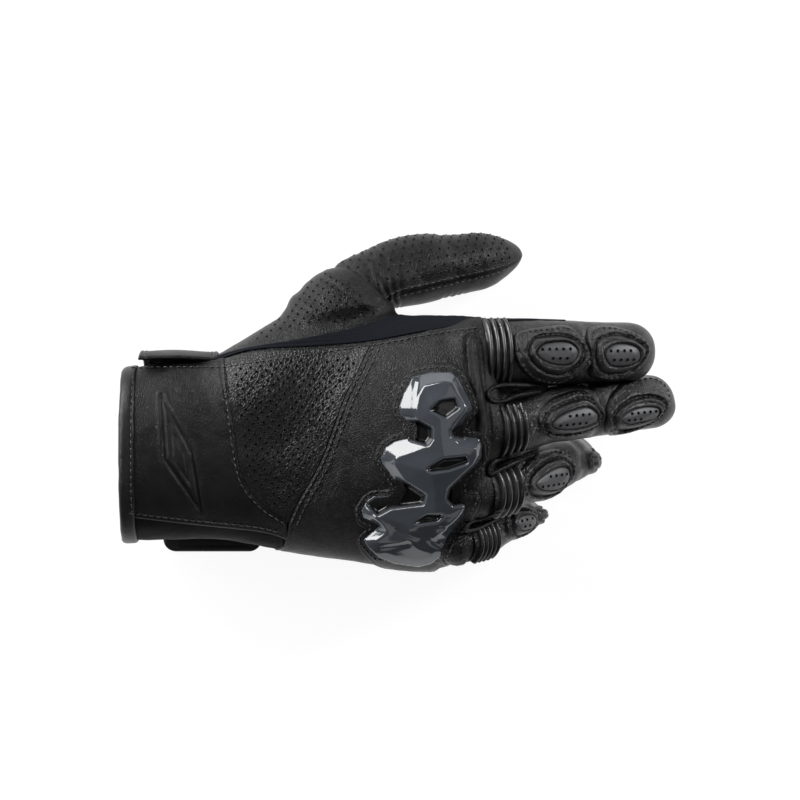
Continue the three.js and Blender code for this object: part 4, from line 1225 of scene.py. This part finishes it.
ALL_PADS = {k: {part: seen_from_above(*k, o) for part, o in v.items()} for k, v in PADS.items()}
ALL_PADS.update(CHART_PADS)
for (name, part), shape in ALL_PADS.items():
    tube = TUBES[name]
    body = f"{name}_tip" if part else f"{name}_base"
    kind = "tip" if part else "knuckle"
    pad, ring, insert = (shape[k] if shape[k] is None else line(shape[k], 1.2, closed=True)
        for k in ("pad", "ring", "insert"))

    def high(q, pad=pad, ring=ring, insert=insert, part=part):
        at = np.stack([q[..., 0], q[..., 1], q[..., 0] * 0 + 3.0 * part], -1)
        near = bump_at(polygon_distance(q, ring), 0.9, 1.1) + bump_at(polygon_distance(q, pad), -1.4, 1.2)
        h = pad_height(q, pad, ring, insert) + 0.16 * noise(at, 4.0, 33)
        return h + 0.55 * near * noise(at, 1.6, 34)

    def smoothed(q, pad=pad, ring=ring, insert=insert):
        return pad_height(q, pad, ring, insert, recess=False)

    obj = pad_mesh(f"{name}_{kind}_pad_leather", name, shape["pad"], high, FINGER, body)
    p, n = normal_on(tube, line(shape["ring"], 0.8, closed=True), smoothed)
    stitches(f"{name}_{kind}_ring_stitch", p, n, body, length=1.5, gap=0.8, radius=0.28,
        closed=True, lift=0.7)
    edge = line(shape["pad"], 0.8, closed=True)
    edge = edge + (edge.mean(0) - edge) * (1.5 / np.linalg.norm(edge - edge.mean(0), axis=1))[:, None]
    p, n = normal_on(tube, edge, high)
    stitches(f"{name}_{kind}_edge_stitch", p, n, body, length=1.7, gap=0.8, radius=0.24,
        closed=True, lift=0.02)
    if insert is None:
        continue

    def inner(q, under=smoothed, insert=insert):
        inside = -polygon_distance(q, insert)
        return under(q) - 0.95 + 0.9 * roll(inside) + 0.6 * smooth(inside / 3.5)

    pad_mesh(f"{name}_{kind}_insert_rubber", name, shape["insert"], inner, INSERT, body,
        skirt=0.6)
    # two rows of holes through the insert
    o = np.asarray(shape["insert"])
    low = o[:, 0].min()
    places = []
    for row, offset in ((0.17, 0.0), (-0.23, 0.5)):
        for k in range(9):
            places.append((low + 2.6 + (k + offset) * 3.1, o[:, 1].mean() + row
                * (o[:, 1].max() - o[:, 1].min())))
    places = np.array(places)
    places = places[polygon_distance(places, insert) < -1.25]
    if len(places):
        p, n = normal_on(tube, places, inner)
        holes(f"{name}_{kind}_insert_holes", p, n, body, radius=0.55, lip=0.2)

# ---------------------------------------------------------------- knuckle guard

GUARD_OUTER = [(6.5, 32), (14.5, 34), (23, 34), (26, 31.5), (29, 25.5), (31.5, 20.5), (32, 18), (29, 14),
    (27.5, 11.5), (27.5, 7.5), (29.5, 6), (35, 5.5), (37, 2.5), (36.5, -2.5), (32.5, -7.5), (27.5, -12),
    (27, -16), (27.5, -19.5), (32.5, -20), (29.5, -27), (26, -32), (23, -37), (22, -41), (19.5, -46),
    (14.5, -50), (9, -51.5), (-1.5, -50), (-8.5, -47), (-13.5, -42), (-15, -39), (-8, -33), (-15, -29.5),
    (-16, -26), (-13.5, -22), (-10.5, -20), (-2, -19.5), (0, -16.5), (-1.5, -13), (-6.5, -6), (-7.5, -3.5),
    (-5.5, 1.5), (-1.5, 4), (4.5, 5.5), (5, 7.5), (4.5, 12), (1, 16), (0.5, 19), (2.5, 25)]
GUARD_TOP = [(11, 28), (19.5, 30), (23, 29.5), (26, 24), (29.5, 19), (29, 17), (23.5, 11), (23, 7.5),
    (23.5, 5.5), (26.5, 2.5), (33.5, 1), (34, -2.5), (32.5, -6), (27, -11.5), (21, -17), (20.5, -21),
    (23.5, -24), (27, -24.5), (29, -24.5), (26, -29.5), (20.5, -34.5), (14.5, -39), (14, -41), (16.5, -44),
    (14.5, -47), (8.5, -48.5), (-1.5, -46.5), (-6.5, -44), (-9.5, -40), (-4.5, -35.5), (-8, -32),
    (-10.5, -29.5), (-8.5, -27), (-1.5, -25), (7.5, -24), (11.5, -21), (11.5, -19), (3.5, -13.5),
    (-1.5, -6), (-0.5, -3), (13.5, 2), (14.5, 5), (14, 9), (8.5, 13), (8, 18), (9, 24)]
GUARD_RECESSES = [
    [(18, 21.5), (24.5, 22.5), (26, 18.5), (20.5, 14.5), (14, 17.5)],
    [(12.5, -8), (19.5, -3.5), (29.5, -2.5), (30, -5), (22, -8), (14.5, -9)],
    [(7.5, -31.5), (12.5, -28), (19.5, -28), (17, -30.5), (10.5, -31.5)],
]
GUARD_POCKETS = [
    [(5, 12.4), (9, 12.6), (14.4, 9.7), (14.4, 5.4), (12.6, 2.9), (5.2, 4.8)],
    [(-1, -12.5), (4, -14.6), (11.6, -19.3), (10.7, -23), (3, -24), (-3.5, -24.9), (-9, -28),
        (-13.4, -23.5), (-10, -21), (-3.5, -20.4), (-0.7, -17.5)],
    [(27.4, 12), (23.1, 8.4), (23.5, 6.4), (28.3, 5.6), (27, 9)],
    [(27, -12.6), (22.5, -16.8), (21.4, -21), (24, -23.6), (29.5, -22), (26.8, -18)],
]
GUARD_CREASES = [((-0.5, -35), (8, -38)), ((-7.5, -43), (4.5, -40.8)), ((13.5, -39), (21.5, -44)),
    ((18, -34), (26, -33.5))]
EDGE_HIGH, TOP_HIGH = 2.6, 7.2


def guard_height(q):
    """The shell's height over the hand's back at places seen from above."""
    outer = polygon_distance(q, GUARD_OUTER)
    top = polygon_distance(q, GUARD_TOP)
    t = np.clip(np.maximum(top, 0) / np.maximum(np.maximum(top, 0) - np.minimum(outer, 0), 0.05), 0, 1)
    edge = EDGE_HIGH + 2.8 * smooth((-36 - q[..., 1]) / 8) * 1.4
    edge = edge + 2.2 * smooth((10 - q[..., 0]) / 5) * smooth((q[..., 1] - 12) / 4)
    h = TOP_HIGH + 2.2 * smooth(-top / 13) + (edge - TOP_HIGH) * t**0.9
    for r in GUARD_POCKETS:
        d = polygon_distance(q, r)
        h = h + (np.minimum(h, 1.6) - h) * smooth(0.5 - d / 1.9)
    for r in GUARD_RECESSES:
        d = polygon_distance(q, r)
        h = h - 2.8 * smooth(0.5 - d / 1.1)
    for a, b in GUARD_CREASES:
        h = h - 0.45 * bump_at(segment_distance(q, a, b), 0, 0.9)
    return h


def mark_deep_shade(obj):
    """Mark the shell's pockets and recesses, where its material paints shade in near black and turns duller.
    """
    points = np.empty(len(obj.data.vertices) * 3)
    obj.data.vertices.foreach_get("co", points)
    q = points.reshape(-1, 3)[:, :2] * 1000 - SHIFT[:2]
    # how much painted shade each point gets: full in the pockets and recesses
    deep = np.max([smooth(0.5 - polygon_distance(q, r) / 0.8) for r in GUARD_POCKETS + GUARD_RECESSES],
        axis=0)
    obj.data.attributes.new("deep", "FLOAT", "POINT").data.foreach_set("value", deep)


GUARD_CELL = 0.42  # the shell's grid step
GUARD_WALL = 3.5  # how far its wall runs down from its rim


def guard_mesh():
    """The shell: a relief over the hand's back, cut to an outline seen from above, with a wall round it."""
    o = np.asarray(GUARD_OUTER)
    low, high = o.min(0) - 1, o.max(0) + 1
    gx, gy = (np.arange(low[k], high[k], GUARD_CELL) for k in (0, 1))
    q = np.stack(np.meshgrid(gx, gy, indexing="ij"), -1)
    # bring the grid's points beside the outline onto it
    for _ in range(3):
        d = polygon_distance(q, o)
        g = np.stack(np.gradient(d, GUARD_CELL), -1)
        g = g / np.maximum(np.linalg.norm(g, axis=-1, keepdims=True), 0.3)
        q = np.where((np.abs(d) < GUARD_CELL * 0.62)[..., None], q - g * d[..., None], q)
    z = guard_base(q[..., 0], q[..., 1]) + softened(guard_height(q), 4)
    p = np.concatenate([q, z[..., None]], -1).reshape(-1, 3)
    inside = (polygon_distance(q, o) < GUARD_CELL * 0.2).reshape(-1)
    f = sheet_faces(len(gx), len(gy))
    f = facing(p, f[inside[f].all(1)], (0, 0, 1))
    edges = {}  # the faces' sides that no other face shares
    for quad in f:
        for a, b in zip(quad, np.roll(quad, -1)):
            if (b, a) in edges:
                del edges[(b, a)]
            else:
                edges[(a, b)] = True
    used = np.unique(f)
    remap = np.full(len(p), -1)
    remap[used] = np.arange(len(used))
    faces = [tuple(remap[v] for v in quad) for quad in f]
    rim = sorted({a for a, _ in edges} | {b for _, b in edges})
    lower = {v: len(used) + i for i, v in enumerate(rim)}
    pts = np.concatenate([p[used], p[rim] - [0, 0, GUARD_WALL]])
    for a, b in edges:
        faces.append((remap[b], remap[a], lower[a], lower[b]))
    mark_deep_shade(piece("knuckle_guard_shell", pts, faces, GUARD, "hand"))


def softened(h, rounds):
    """A height grid with its sharp creases rounded a little."""
    for _ in range(rounds):
        p = np.pad(h, 1, mode="edge")
        h = (4 * h + p[:-2, 1:-1] + p[2:, 1:-1] + p[1:-1, :-2] + p[1:-1, 2:]) / 8
    return h


guard_mesh()

# the stitched leather flange that holds the guard down
FLANGE = 3.4  # how far it reaches past the guard
FLANGE_STITCH = 1.9  # how far past the guard its stitches run


def flange_mesh():
    """The leather that shows round the guard, with a turned edge and a sewn channel."""
    cell = 0.6
    o = np.asarray(GUARD_OUTER)
    low, high = o.min(0) - FLANGE - 2, o.max(0) + FLANGE + 2
    gx, gy = np.arange(low[0], high[0], cell), np.arange(low[1], high[1], cell)
    q = np.stack(np.meshgrid(gx, gy, indexing="ij"), -1)
    d = polygon_distance(q, o)
    base = hand_point(q[..., 0], hand_angle(q[..., 0], q[..., 1]), 1.1)
    p, n = settle(base, 1.15, 2)
    h = (-0.8 + 2.1 * roll((FLANGE - d) / 1.3) - 0.35 * bump_at(d, FLANGE_STITCH, 0.5)
        + 0.15 * noise(p, 4.0, 41))
    p = p + n * h[..., None]
    ok = (d < FLANGE + 0.3) & (d > -4.0)
    f = sheet_faces(len(gx), len(gy))
    f = f[ok.reshape(-1)[f].all(1)]
    return piece("guard_flange", p, facing(p, f, (0, 0, 1)), LEATHER, "hand")


flange = flange_mesh()

# ---------------------------------------------------------------- stitching and holes on the back of the hand

BACK = tree_of("hand_skin", "cuff_binding_roll", "back_panel_leather", "wrist_perforated", "cuff_back",
    "cuff_side", "stretch_stripe", "guard_flange")


def row_from_above(name, places):
    """A row of stitches on the back of the hand, over a line seen from above."""
    p, n, ok = cast_down(BACK, line(places, 0.8))
    stitches(name, p[ok], n[ok], "hand")


def beside(points, offset):
    """A line beside another, offset to its left by so many mm."""
    p = line(points, 1.5)
    t = unit(np.gradient(p, axis=0))
    return p + np.stack([-t[:, 1], t[:, 0]], -1) * offset


row_from_above("back_edge_stitch_1", beside(WEDGE_RIGHT, 1.6))
row_from_above("back_edge_stitch_2", beside(WEDGE_RIGHT, 4.2))
row_from_above("cuff_edge_stitch", beside(WEDGE_LEFT, -1.7))
row_from_above("cuff_seam_stitch", beside(CUFF_SEAM, 1.8))
row_from_above("stripe_stitch", np.stack([STRIPE_LOW[:-1, 0], STRIPE_LOW[:-1, 1] - 2.1], -1))
row_from_above("binding_stitch", [(-116.9, 33.0), (-117.2, 20), (-117.2, 0), (-117.2, -18), (-116.9, -29)])
o = line(GUARD_OUTER, 0.7, closed=True)
t = unit(np.roll(o, -1, 0) - np.roll(o, 1, 0))
out = o + np.stack([-t[:, 1], t[:, 0]], -1) * FLANGE_STITCH
if polygon_distance(out, GUARD_OUTER).mean() < 0:
    out = o - np.stack([-t[:, 1], t[:, 0]], -1) * FLANGE_STITCH
out = out[polygon_distance(out, GUARD_OUTER) > 1.5]
out = out[out[:, 1] > -49]
p, n, ok = cast_down(BACK, out)
stitches("flange_stitch", p[ok], n[ok], "hand", length=1.7, gap=0.9)


def lattice(low, high, pitch, turn=0.0):
    """Staggered places over a rectangle."""
    out = []
    row = 0
    y = low[1]
    while y < high[1]:
        x = low[0] + (pitch / 2 if row % 2 else 0)
        while x < high[0]:
            out.append((x, y))
            x += pitch
        y += pitch * 0.5
        row += 1
    q = np.array(out)
    c = (np.array(low) + high) / 2
    a = math.radians(turn)
    return (q - c) @ np.array([[math.cos(a), math.sin(a)], [-math.sin(a), math.cos(a)]]) + c


WEDGE_AREA = WEDGE_LEFT + WEDGE_RIGHT[::-1][1:]
q = lattice((-85, -40), (-5, 50), 4.5, 8)
q = q[(polygon_distance(q, WEDGE_AREA) < -3.2)]
p, n, ok = cast_down(BACK, q)
holes("wrist_panel_holes", p[ok], n[ok], "hand", radius=0.55, lip=0.22)

# ---------------------------------------------------------------- thumb seam and holes

THUMB = TUBES["thumb"]


def thumb_rows(part, s0, s1):
    """The thumb's two rows of seam stitches and its punched holes, over one length of it."""
    for tag, theta in (("a", THUMB_SEAM - 6.5), ("b", THUMB_SEAM + 7.5)):
        s = np.arange(s0, s1, 0.8)
        p = THUMB.point(s, np.full(len(s), theta), 0.0)
        p2 = THUMB.point(s, np.full(len(s), theta), 1.0)
        blend(stitches(f"thumb_{part}_stitch_{tag}", p, p2 - p, None, lift=0.0))
    places, ways = [], []
    for column, s in enumerate(np.arange(-6, THUMB.length - 8, 2.2)):
        for theta in np.arange(36 + (14 if column % 2 else 0), THUMB_SEAM - 11, 28):
            if s0 <= s < s1:
                at = THUMB.point(s, theta)
                places.append(THUMB.point(s, theta, finger_relief("thumb", np.array(s), np.array(theta),
                    at)))
                ways.append(THUMB.point(s, theta, 1.0) - at)
    row = holes(f"thumb_{part}_holes", np.array(places), np.array(ways), None,
        radius=0.44, lip=0.2)
    blend(row)


thumb_rows("stall", -6.5, SPLIT["thumb"])
thumb_rows("end", SPLIT["thumb"], THUMB.length - 9)
q = lattice((-80, 30), (0, 95), 4.4, 12)
p, n, ok = cast_down(tree_of("hand_skin", "stretch_stripe"), q)
along = (p - T_ROOT) @ T_LEAD
edge = (np.interp(p[:, 0], STRIPE_LOW[:, 0], STRIPE_LOW[:, 1])
    + np.interp(p[:, 0], [-75, -40, 0], [7, 10.5, 11.5]))
ok &= (n[:, 2] > 0.3) & (along < -9) & (p[:, 1] > edge) & (p[:, 0] > -66)
holes("thumb_saddle_holes", p[ok], n[ok], "hand", radius=0.46, lip=0.2)

# ---------------------------------------------------------------- strap, tab and palm pieces


def bend_strap(obj):
    """The strap is sewn to the cuff above its hinge; here it is only baked in place, with no swing below the
    hinge.
    """
    blend(obj)


TAB_TOP = 1.6
LEAVES_CUFF = -10  # the y where the strap starts to drop


def hung(points, outward_from, over):
    """The strap's free end drops away from the cuff and lies on the pull tab."""
    p = points.copy()
    p[..., 2] += (TAB_TOP + over - p[..., 2]) * smooth((LEAVES_CUFF - p[..., 1]) / 16)
    n = unit(np.cross(np.gradient(p, axis=0), np.gradient(p, axis=1)))
    return p, n * np.sign((n * outward_from).sum(-1, keepdims=True))


# the strap runs round the palm side from its free end to its sewn end, and is wider at the free one
angles = np.linspace(203, 383, 170)
toward_sewn = smooth((angles - 206) / (355 - 206))
x0, x1 = -107.5 + (-115 + 107.5) * toward_sewn, -61 + (-80 + 61) * toward_sewn
u = np.linspace(0, 1, 60)
X = x0[:, None] + (x1 - x0)[:, None] * u
A = np.broadcast_to(angles[:, None], X.shape)
lift = 3.4 - 0.9 * smooth((angles - 330) / 30)[:, None]
lift = lift + smooth((angles - 322) / 30)[:, None] * np.interp(X, [-115, -80], [4.3, -0.8])
P = hand_point(X, A, lift)
N = unit(hand_point(X, A, lift + 1) - P)
P, N = hung(P, N, 1.3)
rim = np.minimum(u, 1 - u)[None, :] * 36
P = (P
    + N * (0.35 * bump_at(rim, 1.2, 0.7) - 0.3 * bump_at(rim, 3.0, 0.5) + 0.15 * noise(P, 8.0, 51))[...,
        None])
strap = slab("wrist_strap_leather", P, N, 1.9, 1.0, LEATHER_FINE, None)
bend_strap(strap)
for tag, k in (("a", 5), ("b", 54)):
    bend_strap(stitches(f"strap_stitch_{tag}", P[:, k] + N[:, k] * 0.95, N[:, k], None))

# the pull tab: a moulded plate with round corners and grip ribs, under the end of the strap
TAB_HALF, TAB_CORNER, TAB_MIDDLE = (22.5, 18.0), 6.0, (-84.5, -29.0, 0.6)
U, V = np.meshgrid(np.linspace(-1, 1, 80), np.linspace(-1, 1, 60), indexing="ij")
flat = [np.abs(w) * reach for w, reach in zip((U, V), TAB_HALF)]
straight = [reach - TAB_CORNER for reach in TAB_HALF]
over = np.hypot(*[np.maximum(d - reach, 0) for d, reach in zip(flat, straight)])
k = np.where(over > TAB_CORNER, TAB_CORNER / np.maximum(over, 1e-6), 1)
P = np.stack([U, V, np.full(U.shape, TAB_MIDDLE[2])], -1)
for axis, w in enumerate((U, V)):
    d, reach = flat[axis], straight[axis]
    P[..., axis] = TAB_MIDDLE[axis] + np.sign(w) * np.where(d > reach, reach + (d - reach) * k, d)
half = 0.25 + 0.75 * roll((1 - np.maximum(np.abs(U), np.abs(V))) * 20 / 1.2)
grip = 0.35 * np.abs(np.sin(V * TAB_HALF[1] * 1.05)) * (np.abs(U) < 0.72) * (V < 0.35)
top, low = P.copy(), P.copy()
top[..., 2] += half + grip
low[..., 2] -= half
closed_sheet("strap_tab_rubber", top, low, (0, 0, 1), RUBBER, "strap")


def palm_piece(name, a0, a1, x0, x1, height, thick, edge, material, body="hand", relief=None,
        over=None):
    """A thin piece on the palm side between two angles round the hand. Returns its middle and normals."""
    A, X = np.meshgrid(np.linspace(a0, a1, 90), np.linspace(x0, x1, 60), indexing="ij")
    P, N = settle(hand_point(X, A, height), height, 2)
    if relief is not None:
        P = P + N * relief(P)[..., None]
    if over is not None:
        P, N = hung(P, N, over)
    slab(name, P, N, thick, edge, material, body)
    return P, N


palm_piece("cuff_loop_strip", 212, 300, -108, -80, 0.9, 0.9, 0.5, TAPE)
palm_piece("strap_hook_strip", 216, 262, -103, -84, 2.3, 0.7, 0.5, TAPE, body="strap",
    over=2.7)
P, N = palm_piece("palm_patch", 232, 318, -2, 24, 0.6, 2.0, 1.2, LEATHER_FINE,
    relief=lambda p: 0.12 * noise(p, 5.0, 55))
rect = np.concatenate([P[3:-3, 3], P[-4, 3:-3], P[3:-3, -4][::-1], P[3, 3:-3][::-1]])
rn = np.concatenate([N[3:-3, 3], N[-4, 3:-3], N[3:-3, -4][::-1], N[3, 3:-3][::-1]])
stitches("palm_patch_stitch", rect + rn * 1.0, rn, "hand", closed=True)
palm_piece("palm_slider", 206, 246, -58, -30, 1.6, 3.2, 2.0, RUBBER,
    relief=lambda p: 0.3 * np.sin(p[..., 0] * 1.1) ** 8)

# ---------------------------------------------------------------- webs between the fingers

def web(pair, path, width, height):
    """A rolled strip of leather round the crotch between two fingers."""
    name, q = f"{pair}_welt", line(path, 0.5)
    two = [TUBES[finger] for finger in pair.split("_")]
    level = np.array([np.interp(q[:, 0], t.c[:, 0], t.c[:, 2]) + 0.8 * t.h for t in two]).mean(0)
    tree = tree_of("hand_skin", "back_panel_leather", *[f"{n}_{k}" for n in FINGERS
        for k in ("stall", "ribs")])
    p, n, ok = cast_down(tree, q)
    high = np.where(ok, np.maximum(p[:, 2] + 0.8, level), level)
    for _ in range(12):
        high[1:-1] = (high[:-2] + 2 * high[1:-1] + high[2:]) / 4
    end = from_end(len(q)) * 0.5
    high = high - 4.5 * (1 - smooth(end / 6.0))
    up = np.tile([0.05, 0.0, 1.0], (len(q), 1))
    points = np.concatenate([q, high[:, None]], 1)
    welt(name, points, up, width, height)
    stitches(f"{name}_stitch", points + up * (height - 0.55), up, "hand", length=1.5, gap=0.8,
        radius=0.2, lift=0)


def web_floor(pair, middle):
    """The leather that fills the crotch between two fingers, along a middle line seen from above."""
    two = [TUBES[finger] for finger in pair.split("_")]
    across = np.linspace(-1, 1, 17)
    along, to_side = zip(*middle)
    grid = []
    for x in np.linspace(along[0], along[-1], 40):
        level = sum(np.interp(x, t.c[:, 0], t.c[:, 2]) + 0.35 * t.h for t in two) / 2
        y = np.interp(x, along, to_side)
        grid.append([(x, y + 4.6 * a, level - 1.5 + 2.2 * a * a + 0.25 * math.sin(x * 1.3))
            for a in across])
    grid = np.array(grid)
    nrm = np.tile([0.0, 0.0, 1.0], grid.shape[:2] + (1,))
    slab(f"{pair}_gusset", grid, nrm, 1.6, 0.8, LEATHER_FINE, "hand")


web("index_middle", [(62, 28.6), (57, 28.3), (50, 28.5), (44.5, 28.2), (40.6, 27), (39, 24.4), (41, 21.6),
    (46, 21.6), (51.5, 23.6), (58, 25), (63, 25.8)], 2.6, 1.7)
web("middle_ring", [(61, 1), (54, -0.8), (48, -2.4), (42.5, -4.4), (39.6, -7.4), (40.3, -10.2), (46, -7.6),
    (52, -5), (58, -2.6)], 2.4, 1.5)
web("ring_little", [(50, -24.6), (44, -26.6), (37.5, -29.4), (31.4, -31.4), (29.2, -34.6), (33.5, -34.4),
    (40, -31.8), (47, -29)], 2.4, 1.4)
web_floor("index_middle", [(36, 25), (45, 25), (66, 27.2)])
web_floor("middle_ring", [(34, -8), (42, -6.5), (62, -0.4)])
web_floor("ring_little", [(26, -34), (33, -32), (52, -26.5)])

# ---------------------------------------------------------------- what stands for what
REPLACES = {
    "hand_skin": ["palm_panel", "cuff_palm_panel", "thumb_saddle"],
    "back_panel_leather": ["back_panel"],
    "wrist_perforated": ["wrist_perforated_panel"],
    "cuff_back": ["cuff_back_panel"],
    "cuff_side": ["little_side_panel"],
    "stretch_stripe": ["thumb_side_gusset"],
    "cuff_binding_roll": ["cuff_binding"],
    "hand_lining_knit": ["hand_lining"],
    "palm_patch": ["palm_grip_patch"],
    "palm_slider": ["palm_heel_slider"],
    "cuff_loop_strip": ["cuff_loop_tape"],
    "strap_hook_strip": ["strap_hook_tape"],
    "wrist_strap_leather": ["wrist_strap"],
    "strap_tab_rubber": ["strap_pull_tab"],
    "knuckle_guard_shell": ["knuckle_guard"],
    "guard_flange": ["guard_padding"],
    "thumb_stall": ["thumb_root_sleeve", "thumb_outer_panel", "thumb_inner_panel"],
    "thumb_stall_end": ["thumb_channel_sleeve", "thumb_tip_shell"],
}
for pair in ("index_middle", "middle_ring", "ring_little"):
    REPLACES[f"{pair}_welt"] = [f"{pair}_web"]
for name in FINGERS:
    REPLACES[f"{name}_ribs"] = [f"{name}_ribbed_sleeve"]
    REPLACES[f"{name}_stall"] = [f"{name}_back_panel", f"{name}_palm_panel"]
    REPLACES[f"{name}_stall_end"] = [f"{name}_channel_sleeve", f"{name}_tip_shell"]
    REPLACES[f"{name}_knuckle_pad_leather"] = [f"{name}_knuckle_pad"]
    REPLACES[f"{name}_knuckle_insert_rubber"] = [f"{name}_knuckle_insert"]
    if name != "little":
        REPLACES[f"{name}_tip_pad_leather"] = [f"{name}_tip_pad"]
        REPLACES[f"{name}_tip_insert_rubber"] = [f"{name}_tip_insert"]
for name, gone in REPLACES.items():
    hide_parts(*gone)

# ---------------------------------------------------------------- floor, light and camera

floor_mesh = bpy.data.meshes.new("floor")
FLOOR_HALF = 3
floor_corners = [(x * FLOOR_HALF, y * FLOOR_HALF, 0) for x, y in ((-1, -1), (1, -1), (1, 1), (-1, 1))]
floor_mesh.from_pydata(floor_corners, [], [(0, 1, 2, 3)])
floor = bpy.data.objects.new("floor", floor_mesh)
bpy.context.scene.collection.objects.link(floor)
floor_material, _, floor_bsdf = nodes_of("floor_white")
for socket, value in (
        ("Base Color", (0.15, 0.15, 0.15, 1)), ("Emission Color", (1, 1, 1, 1)), ("Emission Strength",
            0.93),
        ("Roughness", 0.9), ("Specular IOR Level", 0.1)):
    floor_bsdf.inputs[socket].default_value = value
floor_mesh.materials.append(floor_material)

scene = bpy.context.scene
world = bpy.data.worlds.new("studio")
world.use_nodes = True
world.node_tree.nodes["Background"].inputs["Color"].default_value = (1, 1, 1, 1)
world.node_tree.nodes["Background"].inputs["Strength"].default_value = 0.02
scene.world = world
scene.view_settings.view_transform = "Standard"


def area(name, place, aim, size, watts):
    data = bpy.data.lights.new(name, "AREA")
    data.shape = "RECTANGLE"
    data.size, data.size_y = size
    data.energy = watts
    obj = bpy.data.objects.new(name, data)
    obj.location = place
    obj.rotation_euler = (Vector(aim) - Vector(place)).to_track_quat("-Z", "Y").to_euler()
    scene.collection.objects.link(obj)


area("overhead", (0.0, 0.1, 1.8), (0, 0, 0.05), (1.4, 1.4), 2.6)
area("softbox_left", (-0.88, 0.58, 0.5), (0, 0, 0.05), (1.15, 0.5), 18)
area("softbox_right", (0.85, 0.5, 0.55), (0.02, 0, 0.05), (0.25, 0.6), 8)
area("softbox_front", (0.05, -0.95, 0.5), (0, 0, 0.05), (0.9, 0.3), 0.5)

camera = bpy.data.objects.new("camera", bpy.data.cameras.new("camera"))
camera.data.sensor_width = 36
camera.data.lens = 150
camera.location = (0.0, 0.0006, 1.52)
camera.rotation_euler = (0, 0, 0)
camera.data.clip_start = 0.05
scene.collection.objects.link(camera)
scene.camera = camera
